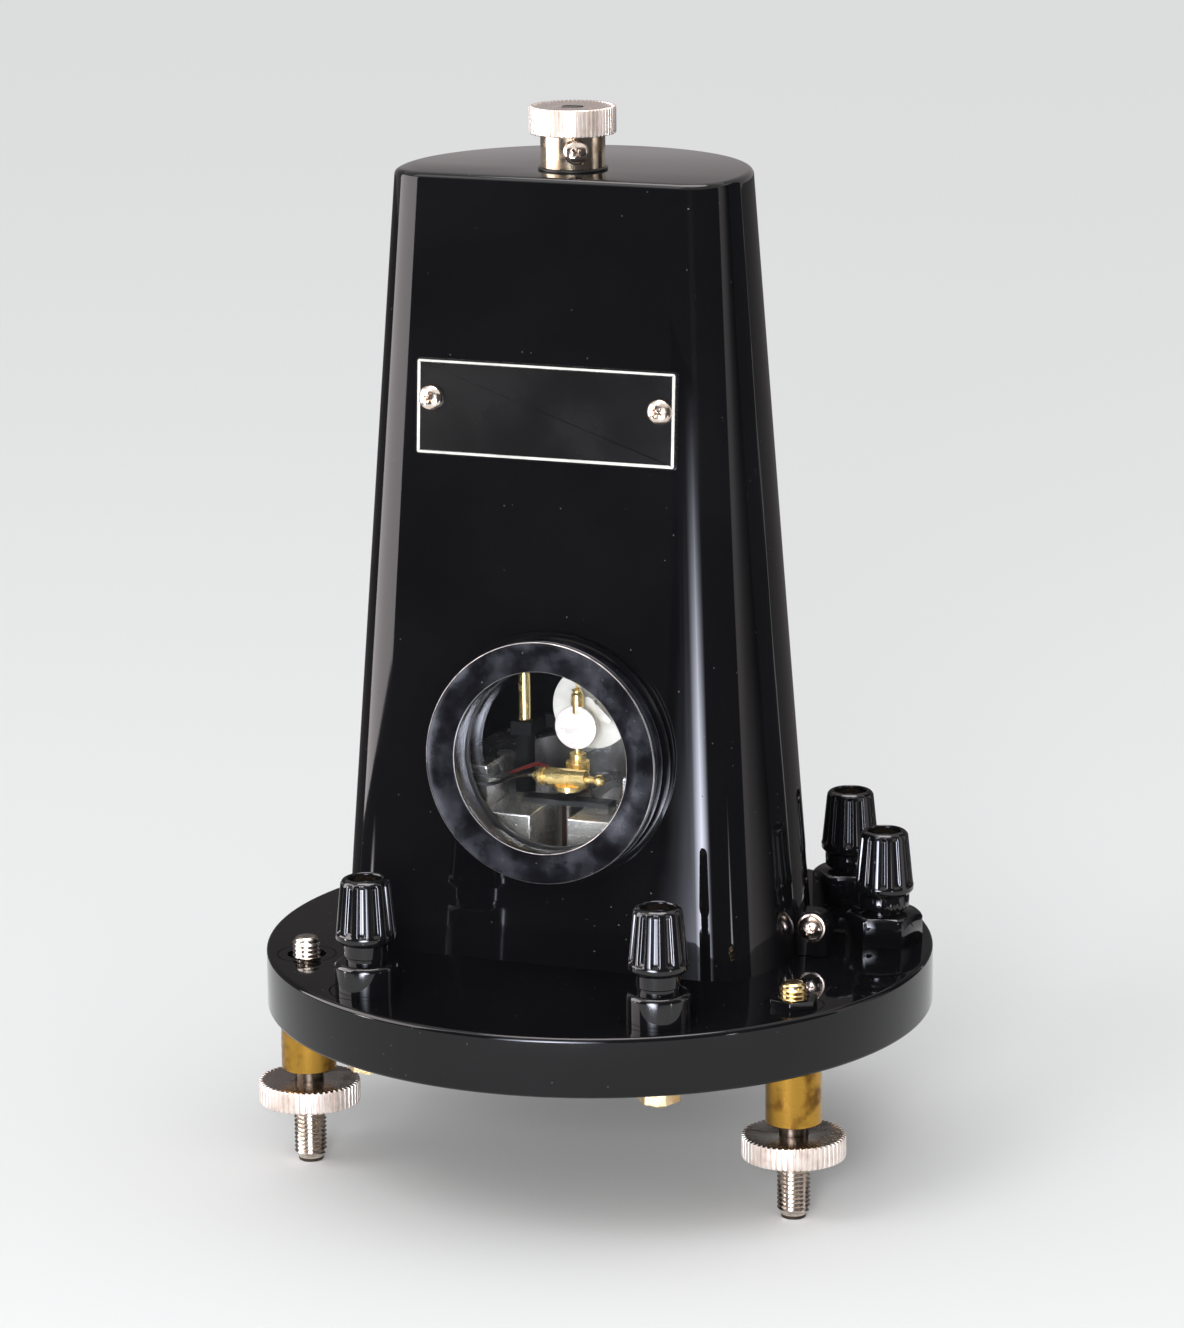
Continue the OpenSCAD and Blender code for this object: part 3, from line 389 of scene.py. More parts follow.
# the modifiers become plain mesh, and the shapes that cut it go
def evaluated(o, *cutters):
    bpy.context.view_layer.update()
    depsgraph = bpy.context.evaluated_depsgraph_get()
    mesh = bpy.data.meshes.new_from_object(o.evaluated_get(depsgraph), depsgraph=depsgraph)
    o.modifiers.clear()
    o.data = mesh
    for c in cutters:
        bpy.data.objects.remove(c)
    return o


def addCut(o, cutter, operation, selfCrossing=False):
    m = o.modifiers.new("cut", "BOOLEAN")
    m.operation, m.object, m.solver, m.use_self = operation, cutter, "EXACT", selfCrossing


def addBevel(o, width, angle):
    m = o.modifiers.new("worn edges", "BEVEL")
    m.width, m.segments, m.limit_method, m.angle_limit = width * mm, 2, "ANGLE", math.radians(angle)


# CAD meshes arrive as loose flat triangles: this joins them and smooths all but real edges
def makeSmoothingTree():
    tree, start, end = newGroup("smoothTurnedFaces", "GeometryNodeTree", [
        ("Geometry", "Geometry", None), ("Edge Angle", "Float", math.radians(30))], ("Geometry", "Geometry"))
    merge = addNode(tree, "GeometryNodeMergeByDistance", {"Geometry": start[0], "Distance": weld})
    faces = addNode(tree, "GeometryNodeSetShadeSmooth", {"Geometry": merge.outputs[0]})
    bend = addNode(tree, "GeometryNodeInputMeshEdgeAngle").outputs[0]
    gentle = addNode(tree, "FunctionNodeCompare", {0: bend, 1: start["Edge Angle"]},
                     data_type="FLOAT", operation="LESS_THAN")
    edges = addNode(tree, "GeometryNodeSetShadeSmooth", {
        "Geometry": faces.outputs[0], "Shade Smooth": gentle.outputs[0]}, domain="EDGE")
    feed(tree, end[0], edges.outputs[0])
    return tree


smoothingTree = makeSmoothingTree()


def dress(name, material, edge):
    o = nodes[name]
    setMaterials(o.data, material)
    o.modifiers.new("smooth", "NODES").node_group = smoothingTree
    if edge:
        addBevel(o, edge, 40)


def geometryTree(name, inputs):
    return newGroup(name, "GeometryNodeTree", [("Geometry", "Geometry", None), *inputs,
                                               ("Finish", "Material", None)], ("Geometry", "Geometry"))


# every tree ends the same way: real geometry with its finish on it
def closeTree(tree, start, end, geometry):
    realise = addNode(tree, "GeometryNodeRealizeInstances", {0: geometry})
    finish = addNode(tree, "GeometryNodeSetMaterial", {
        "Geometry": realise.outputs[0], "Material": start["Finish"]})
    feed(tree, end[0], finish.outputs[0])
    return tree


# ribs or flutes: pulls the outside of a turned piece inwards in even grooves between two heights
def makeRibTree():
    tree, start, end = geometryTree("groovesRoundTheOutside", [
        ("Grooves", "Int", 12), ("Depth", "Float", 0.0005), ("Share", "Float", 0.3), ("Softness", "Float", 0.5),
        ("Low", "Float", 0.0), ("High", "Float", 0.01), ("Fade", "Float", 0.001), ("Inside", "Float", 0.001)])

    def calc(operation, *values):
        return mathNode(tree, operation, *values)

    def vectorNode(operation, vector, **more):
        return addNode(tree, "ShaderNodeVectorMath", {0: vector, **more}, operation=operation).outputs

    place = addNode(tree, "GeometryNodeInputPosition").outputs[0]
    x, y, z = addNode(tree, "ShaderNodeSeparateXYZ", {0: place}).outputs
    turn = calc("DIVIDE", calc("ARCTAN2", y, x), 2 * math.pi)
    part = calc("FRACT", calc("MULTIPLY", turn, start["Grooves"]))
    away = calc("MULTIPLY", calc("ABSOLUTE", calc("SUBTRACT", part, 0.5)), 2.0)
    floorEdge = calc("MULTIPLY", start["Share"], calc("SUBTRACT", 1.0, start["Softness"]))
    groove = smoothRange(tree, away, floorEdge, start["Share"], 1.0, 0.0)
    low, high, fade = (start[k] for k in ("Low", "High", "Fade"))
    over = smoothRange(tree, z, low, calc("ADD", low, fade))
    under = smoothRange(tree, z, calc("SUBTRACT", high, fade), high, 1.0, 0.0)
    flat = addNode(tree, "ShaderNodeCombineXYZ", {0: x, 1: y}).outputs[0]
    outside = calc("GREATER_THAN", vectorNode("LENGTH", flat)["Value"], start["Inside"])
    share = calc("MULTIPLY", groove, calc("MULTIPLY", over, under))
    amount = calc("MULTIPLY", share, calc("MULTIPLY", outside, calc("MULTIPLY", start["Depth"], -1.0)))
    shift = vectorNode("SCALE", vectorNode("NORMALIZE", flat)[0], Scale=amount)[0]
    move = addNode(tree, "GeometryNodeSetPosition", {"Geometry": start["Geometry"], "Offset": shift})
    return closeTree(tree, start, end, move.outputs[0])


# one start of a V thread wound on the piece it is given
def makeThreadTree():
    tree, start, end = geometryTree("screwThread", [
        ("Root Radius", "Float", 0.0037), ("Pitch", "Float", 0.001), ("Length", "Float", 0.01),
        ("Foot", "Float", 0.0), ("Depth", "Float", 0.0005), ("Steps", "Int", 28)])
    root, pitch, length = (start[k] for k in ("Root Radius", "Pitch", "Length"))
    spiral = addNode(tree, "GeometryNodeCurveSpiral", {
        "Resolution": start["Steps"], "Rotations": mathNode(tree, "DIVIDE", length, pitch),
        "Start Radius": root, "End Radius": root, "Height": length})
    up = addNode(tree, "ShaderNodeCombineXYZ", {2: start["Foot"]})
    lift = addNode(tree, "GeometryNodeTransform", {
        "Geometry": spiral.outputs[0], "Translation": up.outputs[0]})
    halfPitch = mathNode(tree, "MULTIPLY", pitch, 0.5)
    section = addNode(tree, "GeometryNodeCurvePrimitiveCircle", {"Resolution": 4, "Radius": halfPitch})
    ratio = addNode(tree, "ShaderNodeCombineXYZ", {
        0: mathNode(tree, "DIVIDE", start["Depth"], halfPitch), 1: 1.0, 2: 1.0})
    flatten = addNode(tree, "GeometryNodeTransform", {
        "Geometry": section.outputs[0], "Scale": ratio.outputs[0]})
    level = addNode(tree, "GeometryNodeSetCurveNormal", {"Curve": lift.outputs[0]}, mode="Z_UP")
    sweep = addNode(tree, "GeometryNodeCurveToMesh", {
        "Fill Caps": True, "Curve": level.outputs[0], "Profile Curve": flatten.outputs[0]})
    both = addNode(tree, "GeometryNodeJoinGeometry", {0: start["Geometry"]})
    feed(tree, both.inputs[0], sweep.outputs[0])
    return closeTree(tree, start, end, both.outputs[0])


# copies of one piece in a straight row
def makeRowTree():
    tree, start, end = geometryTree("evenRow", [
        ("Count", "Int", 2), ("First", "Vector", None), ("Step", "Vector", None)])
    line = addNode(tree, "GeometryNodeMeshLine", {
        "Count": start["Count"], "Start Location": start["First"], "Offset": start["Step"]}, mode="OFFSET")
    spread = addNode(tree, "GeometryNodeInstanceOnPoints", {
        "Points": line.outputs[0], "Instance": start["Geometry"]})
    return closeTree(tree, start, end, spread.outputs[0])


# round wire or sleeving along the line of points it is given
def makeWireTree():
    tree, start, end = geometryTree("roundWire", [
        ("Radius", "Float", 0.0005), ("Sides", "Int", 12), ("Points", "Int", 60)])
    line = addNode(tree, "GeometryNodeMeshToCurve", {0: start["Geometry"]})
    kind = addNode(tree, "GeometryNodeCurveSplineType", {"Curve": line.outputs[0]}, spline_type="CATMULL_ROM")
    fine = addNode(tree, "GeometryNodeResampleCurve", {"Curve": kind.outputs[0], "Count": start["Points"]})
    section = addNode(tree, "GeometryNodeCurvePrimitiveCircle", {
        "Resolution": start["Sides"], "Radius": start["Radius"]})
    sweep = addNode(tree, "GeometryNodeCurveToMesh", {
        "Fill Caps": True, "Curve": fine.outputs[0], "Profile Curve": section.outputs[0]})
    return closeTree(tree, start, end, sweep.outputs[0])


# turns of fine wire side by side round a rectangle with round corners, lying across Y
def makeWindingTree():
    tree, start, end = geometryTree("woundTurns", [
        ("Width", "Float", 0.009), ("Height", "Float", 0.033), ("Corner", "Float", 0.003), ("Turns", "Int", 12),
        ("Depth", "Float", 0.0026), ("Wire", "Float", 0.0001)])
    loop = addNode(tree, "GeometryNodeCurvePrimitiveQuadrilateral", {k: start[k] for k in ("Width", "Height")})
    corner = addNode(tree, "GeometryNodeFilletCurve", mode="POLY")
    for label, v in (("Count", 8), ("Curve", loop.outputs[0]), ("Radius", start["Corner"])):
        feed(tree, corner.inputs[label], v)
    stand = addNode(tree, "GeometryNodeTransform", {
        "Rotation": (math.pi / 2, 0, 0), "Geometry": corner.outputs[0]})
    sides = [mathNode(tree, "MULTIPLY", start["Depth"], half) for half in (-0.5, 0.5)]
    ends = [addNode(tree, "ShaderNodeCombineXYZ", {1: side}).outputs[0] for side in sides]
    line = addNode(tree, "GeometryNodeMeshLine", {
        "Count": start["Turns"], "Start Location": ends[0], "Offset": ends[1]}, mode="END_POINTS")
    spread = addNode(tree, "GeometryNodeInstanceOnPoints", {
        "Points": line.outputs[0], "Instance": stand.outputs[0]})
    real = addNode(tree, "GeometryNodeRealizeInstances", {0: spread.outputs[0]})
    section = addNode(tree, "GeometryNodeCurvePrimitiveCircle", {"Resolution": 6, "Radius": start["Wire"]})
    sweep = addNode(tree, "GeometryNodeCurveToMesh", {
        "Curve": real.outputs[0], "Profile Curve": section.outputs[0]})
    return closeTree(tree, start, end, sweep.outputs[0])


ribTree, threadTree, rowTree, wireTree, windingTree = (
    makeRibTree(), makeThreadTree(), makeRowTree(), makeWireTree(), makeWindingTree())


def runTree(o, tree, finish, **values):
    m = o.modifiers.new("shape", "NODES")
    m.node_group = tree
    wanted = {**{k.replace("_", " "): v for k, v in values.items()}, "Finish": finish}
    for item in tree.interface.items_tree:
        if item.in_out == "INPUT" and item.name in wanted:
            m[item.identifier] = wanted[item.name]
    return evaluated(o)


# rounds every corner of a profile that isn't on the axis, unless it is nearly straight there
def softened(profile, size, steps=3, closed=False):
    straight, most = math.radians(160), 0.45
    out, n = [], len(profile)
    for i, p in enumerate(profile):
        if not closed and i in (0, n - 1) or p[0] < onAxis:
            out.append(p)
            continue
        a, b = Vector(profile[i - 1]), Vector(profile[(i + 1) % n])
        c = Vector(p)
        inA, inB = (a - c), (b - c)
        if inA.angle(inB) > straight:
            out.append(p)
            continue
        cutA, cutB = min(size, inA.length * most), min(size, inB.length * most)
        begin, finish = c + inA.normalized() * cutA, c + inB.normalized() * cutB
        for k in range(steps + 1):
            t = k / steps
            q = begin * (1 - t) ** 2 + c * 2 * t * (1 - t) + finish * t * t
            out.append((q.x, q.y))
    return out


def addPoints(profile, gap):
    out = [profile[0]]
    for a, b in zip(profile, profile[1:]):
        steps = max(1, math.ceil(math.dist(a, b) / gap))
        out += [tuple(p + (q - p) * k / steps for p, q in zip(a, b)) for k in range(1, steps + 1)]
    return out


# profile of a plain round block
def block(radius, low, high):
    return [(0, low), (radius, low), (radius, high), (0, high)]


layout = {
    "baseTop": 61.0, "caseAxis": (-7.5, 4.0),
    "footRadius": 84.0, "footAngles": {"left": 210, "right": 330, "back": 90},
    "posts": {"front_left": (80.5, -122.2), "front_right": (80.5, -57.8),      # radius and angle
              "side_near": (81.0, 18.5), "side_far": (84.0, 50.0)},
    "caseHeight": 220.0, "flatFoot": 34.0, "flatTop": 19.5,
}


def shift(x=0.0, y=0.0, z=0.0):
    return Matrix.Translation(Vector((x, y, z)) * mm)


def turn(angle, axis):
    return Matrix.Rotation(math.radians(angle), 4, axis)


def polar(radius, angle, z=0.0):
    a = math.radians(angle)
    return shift(radius * math.cos(a), radius * math.sin(a), z)


def onCaseAxis(z=0.0):
    return shift(*layout["caseAxis"], layout["baseTop"] + z)


def atPost(name):
    return polar(*layout["posts"][name], layout["baseTop"])


def atFoot(name, z=0.0):
    return polar(layout["footRadius"], layout["footAngles"][name], z)


# z outwards from the case's flat front, y up its slope
def onFront(dx, z):
    slope = (layout["flatFoot"] - layout["flatTop"]) / layout["caseHeight"]
    x, y = layout["caseAxis"]
    place = shift(x + dx, y - layout["flatFoot"] + slope * z, layout["baseTop"] + z)
    return place @ Matrix.Rotation(math.pi / 2 - math.atan(slope), 4, "X")


posts = list(layout["posts"])
finishes = [
    # finish, width of the worn edges in millimetres, pieces
    (enamel, 0, ["base", "case"]),
    (moulding, 0, ["window_flange", "post_body_front_left", "post_body_front_right"]),
    (satinBlack, 0.15, ["window_rings", "head_washer", "terminal_strip"]),
    (enamel, 0.15, ["case_lugs"]),
    (innerBlack, 0.15, ["pillar_sleeves", "screen_bracket"]),
    (glossBlack, 0.2, ["foot_lock_nut"]),
    (metals["warmNickel"], 0.15, ["head_collar"]),
    (metals["nickel"], 0.15, ["pillar_nuts"]),
    (metals["oiledSteelAndPaintedShade"], 0.2, ["head_spindle"]),
    (metals["brass"], 0.2, ["foot_bushes", "head_bridge", "lower_anchor"]),
    (metals["freshBrass"], 0.2, ["post_washers", "post_nuts"]),
    (metals["brightBrass"], 0.1, ["terminal_bar", "suspension_strip", "pillar_rods",
                                  *["post_" + k + "_" + p for k in ("stem", "insert") for p in posts]]),
    (metals["magnetSteel"], 0.4, ["magnet"]),
    (metals["softIron"], 0.3, ["pole_shoe_left", "pole_shoe_right"]),
    (metals["softIron"], 0, ["coil_former"]),
    (glass, 0, ["window_glass"]),
    (whiteCard, 0.1, ["screen"]),
]
for material, edge, names in finishes:
    for name in names:
        dress(name, material, edge)
nodes["window_glass"].visible_shadow = False


# the cast inside of the case is left dull
def dullCase():
    x, y = (v * mm for v in layout["caseAxis"])
    ceiling = (layout["baseTop"] + layout["caseHeight"] - 1) * mm

    def isInside(f):
        outwards = (f.center.x - x) * f.normal.x + (f.center.y - y) * f.normal.y
        return outwards < -1e-5 or (f.normal.z < -0.5 and f.center.z < ceiling)

    finishFaces(nodes["case"].data, innerBlack, isInside)


dullCase()
print("CAD pieces dressed")


hexBody = {"flats": 19.0, "top": 8.5, "slope": 30.0, "reach": 13.0, "edge": 0.25, "edgeAngle": 25}


# hexagon bodies, chamfered on top as a nut is
def makeHexBody(post):
    h = hexBody
    r = h["flats"] / 2 - 0.05
    drop = (h["reach"] - r) * math.tan(math.radians(h["slope"]))
    profile = [(0, -40), (h["reach"], -40), (h["reach"], h["top"] - drop), (r, h["top"]), (r, 40), (0, 40)]
    cone = turned("cone", profile, place=atPost(post))
    o = linkMesh("body_" + post, nodes["post_body_" + post].data.copy())
    addCut(o, cone, "INTERSECT")
    finishMesh(evaluated(o, cone).data)
    addBevel(o, h["edge"], h["edgeAngle"])
    finishMesh(evaluated(o).data)
    put(o, moulding, "stand", "post_body_" + post)


for post in ("side_near", "side_far"):
    makeHexBody(post)
print("hexagon bodies made")


knurl = {"share": 0.4, "softness": 0.5, "segments": 12, "sheenRim": 2}


# knurled disc from its closed profile, with painted sheen: its knurled edge takes a lighter, less metallic
# nickel than its faces
def makeKnurled(name, profile, d, place):
    r = d["radius"]
    segments = d["knurls"] * knurl["segments"]
    o = turned(name, softened(profile, d["softness"], closed=True), segments=segments, angle=60)
    runTree(o, ribTree, metals["nickel"], Grooves=d["knurls"], Depth=d["knurlDepth"] * mm,
            Share=knurl["share"], Softness=knurl["softness"], Low=-mm, High=d["thickness"] * mm + mm,
            Fade=0.1 * mm, Inside=(r - d["rim"]) * mm)
    bright = (r - knurl["sheenRim"]) * mm
    finishFaces(o.data, metals["knurlPaintedSheen"], lambda f: abs(f.normal.z) < 0.6 and f.center.xy.length > bright)
    o.data.transform(place)
    finishMesh(o.data, 50)
    return o


wheel = {"radius": 14.5, "foot": 17.6, "thickness": 6.4, "knurls": 54, "knurlDepth": 0.75, "rim": 1.25,
         "bore": 4.05, "softness": 0.2}


def makeWheel(side):
    r, t, bore = (wheel[k] for k in ("radius", "thickness", "bore"))
    profile = [(bore, 0), (r - 0.4, 0), (r - 0.05, 0.3), (r - 0.05, t - 0.3), (r - 0.4, t), (bore, t)]
    o = makeKnurled("wheel_" + side, profile, wheel, atFoot(side, wheel["foot"]))
    put(o, None, "wheel_" + side, "foot_wheel_" + side)


stud = {"radius": 4.0, "lowRadius": 4.6, "pitch": 1.25, "tipRadius": 3.5, "tipLength": 1.4, "step": 17.5,
        "rises": {"left": 5.25, "right": 6.5, "back": 5.25}, "shadedShank": (20.0, 50.0), "shadedTip": 0.9,
        "threadShare": 0.52, "runOut": 2.2, "threadSteps": 32}


# plain shank through the bush, with a thread wound on either end
def makeStud(side):
    s = stud
    high, low, pitch, tip, step = (s[k] for k in ("radius", "lowRadius", "pitch", "tipLength", "step"))
    depth, runOut = pitch * s["threadShare"], s["runOut"]
    top, shoulder = layout["baseTop"] + s["rises"][side], layout["baseTop"] - 3.0
    profile = [(0, 0), (s["tipRadius"], 0), (s["tipRadius"], tip), (low - depth, tip + 0.3),
               (low - depth, step - 0.4), (low - 0.02, step - 0.3), (low - 0.02, step), (high - 0.02, step),
               (high - 0.02, shoulder), (high - depth, shoulder + 0.5), (high - depth, top - 0.7),
               (high - 1.5, top), (0, top)]
    o = turned("stud_" + side, softened(profile, 0.4, 4), segments=48)
    for root, length, begin in ((low - depth, step - tip - runOut, tip + 0.9),
                                (high - depth, top - shoulder - runOut, shoulder + 1.0)):
        runTree(o, threadTree, metals["studNickel"], Root_Radius=root * mm, Pitch=pitch * mm,
                Length=length * mm, Foot=begin * mm, Depth=depth * mm, Steps=s["threadSteps"])

    # painted shade: the shank between the bush and the wheel, and the very tip, take the dark oiled-steel
    # finish, which stands in for the shade under the base
    def isPaintedShade(f):
        z = f.center.z / mm
        return s["shadedShank"][0] < z < s["shadedShank"][1] or z < s["shadedTip"]

    if side == "right":
        finishFaces(o.data, metals["brassStud"], lambda f: f.center.z > (layout["baseTop"] - 1) * mm)
    finishFaces(o.data, metals["oiledSteelAndPaintedShade"], isPaintedShade)
    o.data.transform(atFoot(side))
    finishMesh(o.data, 40, turnOut=False)
    put(o, None, "stud_" + side, "foot_stud_" + side)


for side in layout["footAngles"]:
    makeWheel(side)
    makeStud(side)
print("levelling feet made")


cap = {"footRadius": 8.4, "topRadius": 6.9, "height": 18.4, "band": 2.7, "shoulder": 2.0,
       "flutes": 12, "fluteDepth": 0.75, "mouthRadius": 4.7, "mouthDepth": 2.6,
       "bore": 3.8, "insertRadius": 5.1, "insertTop": 13.7, "seat": 13.9}


def makeCap(post):
    r, top, h, band, shoulder, mouth, depth, bore, insert, insertTop = (cap[k] for k in (
        "footRadius", "topRadius", "height", "band", "shoulder", "mouthRadius", "mouthDepth", "bore",
        "insertRadius", "insertTop"))
    arc = [(top - shoulder + shoulder * math.sin(math.radians(a)),
            h - shoulder + shoulder * math.cos(math.radians(a))) for a in range(90, 0, -10)]
    profile = [(insert, 0), (r - 1.1, 0), (r - 0.2, 1.0), (r, 1.3), (r, band), (r - 0.12, band + 0.25), *arc,
               (mouth + 0.3, h), (mouth, h - 0.4), (mouth, h - depth), (bore, h - depth),
               (bore, insertTop), (insert, insertTop)]
    profile = addPoints(softened(profile, 0.25, 2, closed=True), 0.45)
    o = turned("cap_" + post, profile, segments=cap["flutes"] * 24, angle=60)
    runTree(o, ribTree, moulding, Grooves=cap["flutes"], Depth=cap["fluteDepth"] * mm, Share=0.62,
            Softness=0.55, Low=band * mm, High=(h - 0.6) * mm, Fade=1.3 * mm, Inside=(mouth + 0.6) * mm)
    o.data.transform(atPost(post) @ shift(z=cap["seat"]))
    finishMesh(o.data, 50)
    put(o, None, "cap_" + post, "post_cap_" + post)


for post in posts:
    makeCap(post)
print("terminal caps made")


head = {"radius": 12.15, "thickness": 7.7, "foot": 230.0, "knurls": 60, "knurlDepth": 0.6, "rim": 1.1,
        "bore": 3.05, "softness": 0.25}


def makeHead():
    r, t, bore = (head[k] for k in ("radius", "thickness", "bore"))
    profile = [(bore, 0), (r - 0.4, 0), (r - 0.05, 0.3), (r - 0.05, t - 0.4), (r - 0.4, t - 0.05),
               (r - 1.3, t - 0.25), (bore + 1.2, t - 0.25), (bore, t - 0.5)]
    o = makeKnurled("torsionKnob", profile, head, onCaseAxis(head["foot"]))
    put(o, None, "torsion_head", "head_knob")


makeHead()
print("torsion head made")


screw = {"headRadius": 3.5, "headHeight": 2.4, "shankRadius": 1.5, "edge": 0.09, "edgeAngle": 45,
         "slotLength": 3.9, "slotWidth": 0.95, "slotDepth": 1.3, "slotTaper": 0.55}


# pan head with a cross recess, head outwards along z; a washer is (radius, thickness)
def makeScrew(name, shank=5.0, washer=None):
    r, h, core, depth = (screw[k] for k in ("headRadius", "headHeight", "shankRadius", "slotDepth"))
    above = 1.0
    dome = [(r * math.sin(math.radians(a)), 0.28 * h + 0.72 * h * math.cos(math.radians(a)))
            for a in range(90, -1, -10)]
    dome[-1] = (0, h)
    o = turned(name, [(0, -shank), (core - 0.2, -shank), (core, -shank + 0.3), (core, 0.02), (r - 0.15, 0.02),
                      (r, 0.15), *dome], segments=64)
    b = bmesh.new()
    size = [v * mm for v in (screw["slotLength"], screw["slotWidth"], depth + above)]
    lift = Matrix.Translation((0, 0, (h - depth / 2 + above / 2) * mm))
    for angle in (45, 135):
        place = turn(angle, "Z") @ lift @ Matrix.Diagonal((*size, 1))
        for v in bmesh.ops.create_cube(b, size=1, matrix=place)["verts"]:
            if v.co.z < h * mm - 0.0001:
                v.co.x *= screw["slotTaper"]
                v.co.y *= screw["slotTaper"]
    cutter = linkMesh("slots", meshFrom(b, "slots"))
    addCut(o, cutter, "DIFFERENCE", selfCrossing=True)
    addBevel(o, screw["edge"], screw["edgeAngle"])
    finishMesh(evaluated(o, cutter).data)
    if washer:
        outer, thick = washer[0] - 0.05, washer[1]
        ring = turned("washer", softened([(core, -thick), (outer, -thick), (outer, 0), (core, 0)], 0.15,
                                         closed=True), segments=64)
        o = joinAs(name, [o, ring])
    return o


plate = {"width": 77.0, "height": 27.0, "thickness": 0.9, "corner": 1.0, "edge": 0.2, "margin": 0.25,
         "line": 0.85, "dx": 0.5, "z": 155.5, "back": 0.02, "screwPitch": 67.6, "screwLift": 2.5,
         "screwTurn": 18}


def makePlate():
    w, h, c, t, back = (plate[k] * mm for k in ("width", "height", "corner", "thickness", "back"))
    b = bmesh.new()
    ring = []
    for cx, cy, first in ((1, 1, 0), (-1, 1, 90), (-1, -1, 180), (1, -1, 270)):
        for a in (math.radians(first + 15 * k) for k in range(7)):
            x, y = cx * (w / 2 - c) + c * math.cos(a), cy * (h / 2 - c) + c * math.sin(a)
            ring.append(b.verts.new((x, y, back)))
    face = b.faces.new(ring)
    top = bmesh.ops.extrude_face_region(b, geom=[face])["geom"]
    lifted = [v for v in top if isinstance(v, bmesh.types.BMVert)]
    bmesh.ops.translate(b, verts=lifted, vec=(0, 0, t - back))
    rim = [e for e in b.edges if all(v in lifted for v in e.verts) and len(e.link_faces) == 2]
    bmesh.ops.bevel(b, geom=rim, offset=plate["edge"] * mm, segments=2, affect="EDGES")
    bmesh.ops.recalc_face_normals(b, faces=b.faces)
    flat = 0.97
    for f in b.faces:
        f.material_index = 0 if abs(f.normal.z) > flat else 1
    front = max((f for f in b.faces if f.normal.z > flat), key=lambda f: f.calc_area())
    for inset, index in ((plate["margin"], 0), (plate["line"], 2)):
        for f in bmesh.ops.inset_individual(b, faces=[front], thickness=inset * mm)["faces"]:
            f.material_index = index
    mesh = meshFrom(b, "namePlate")
    mesh.transform(onFront(plate["dx"], plate["z"]))
    addMaterials(mesh, plateBlack, metals["plateEdge"], whitePaint)
    o = linkMesh("namePlate", mesh)
    smoothMesh(mesh, 25)
    put(o, None, "stand", "name_plate")


def makePlateScrews():
    pitch = plate["screwPitch"] * mm
    o = makeScrew("plateScrews")
    o.data.transform(turn(plate["screwTurn"], "Z"))
    runTree(o, rowTree, metals["screwNickel"], Count=2, Step=(pitch, 0, 0),
            First=(-pitch / 2, plate["screwLift"] * mm, plate["thickness"] * mm))
    o.data.transform(onFront(plate["dx"], plate["z"]))
    put(o, None, "stand", "name_plate_screws")


# the case's ears: how far out, how high, where their front is, and each one's turn and facing
ear = {"out": 70.5, "z": 8.5, "front": -2.1, "sides": {"right": (0, 0), "left": (162, 180)},
       "slotTurn": 30, "washer": (4.2, 0.5)}


def makeEarScrews():
    screws = []
    for side, (swing, facing) in ear["sides"].items():
        o = makeScrew("earScrew_" + side, washer=ear["washer"])
        o.data.transform(onCaseAxis(ear["z"]) @ turn(swing, "Z") @ shift(x=ear["out"]) @ turn(facing, "Z")
                         @ shift(y=ear["front"]) @ turn(90, "X") @ turn(ear["slotTurn"], "Z"))
        screws.append(o)
    put(joinAs("earScrews", screws), metals["screwNickel"], "stand", "case_screws")


lock = {"angle": -64, "z": 225.9, "seat": 9.2, "shank": 5.5}


def makeLockScrew():
    o = makeScrew("lockScrew", shank=lock["shank"])
    o.data.transform(onCaseAxis(lock["z"]) @ turn(lock["angle"], "Z") @ turn(90, "Y") @ shift(z=lock["seat"]))
    put(o, metals["screwNickel"], "lock", "head_lock_screw")


makePlate()
makePlateScrews()
makeEarScrews()
makeLockScrew()
print("plate and screws made")


window = {"dx": 3.6, "z": 59.2, "radius": 34.1, "bore": 25.5, "stand": 9.5, "flange": 1.6, "tube": 29.2,
          "tubeEnd": -5.98}


def makeBezel():
    r, b, t, f, tube, end = (window[k] for k in ("radius", "bore", "stand", "flange", "tube", "tubeEnd"))
    mid = (r + b) / 2
    dish = [(b + 0.3, t - 0.3), (mid - 1.6, t - 0.42), (mid, t - 0.44), (mid + 1.8, t - 0.38),
            (r - 0.6, t - 0.08)]
    outer, groove = r - 0.02, r - 0.5
    profile = [(b, t - 0.6), *dish, (r - 0.3, t - 0.02), (outer, t - 0.3), (outer, t - 1.2), (groove, t - 1.5),
               (groove, t - 2.1), (outer, t - 2.4), (outer, f + 1.6), (groove, f + 1), (groove, f), (tube, f),
               (tube, end), (b + 2, end), (b + 2, 0), (b + 0.5, 0), (b + 0.5, f + 1), (b, f + 1.5)]
    place = onFront(window["dx"], window["z"])
    o = turned("windowBezel", softened(profile, 0.22, closed=True), segments=192, place=place, angle=50)
    back = place.inverted()

    def onRim(face):
        at = back @ face.center
        return at.z > (t - 0.45) * mm and not (b + 0.28) * mm < at.xy.length < (r - 0.28) * mm

    setMaterials(o.data, rimBlack)
    # painted highlight: the rounded outer and inner rims of the bezel take a pale metal finish that stands in
    # for their thin bright highlight lines
    finishFaces(o.data, metals["rimPaintedHighlight"], onRim)
    put(o, None, "stand", "window_bezel")


makeBezel()
print("window made")


cell = {"mirrorHeight": 60.8, "mirrorRadius": 6.3, "mirrorThickness": 1.2, "mirrorBack": 0.4,
        "backRadius": 5.55, "backThickness": 0.75, "hookRadius": 1.8, "hookTop": 71.7,
        "ringFoot": 47.7, "ringHeight": 3.2, "ringRadius": 3.5, "ringRibs": 32, "neckRadius": 2.45,
        "neckHeight": 2.2, "stem": (1.1, 42.7, 56.8)}


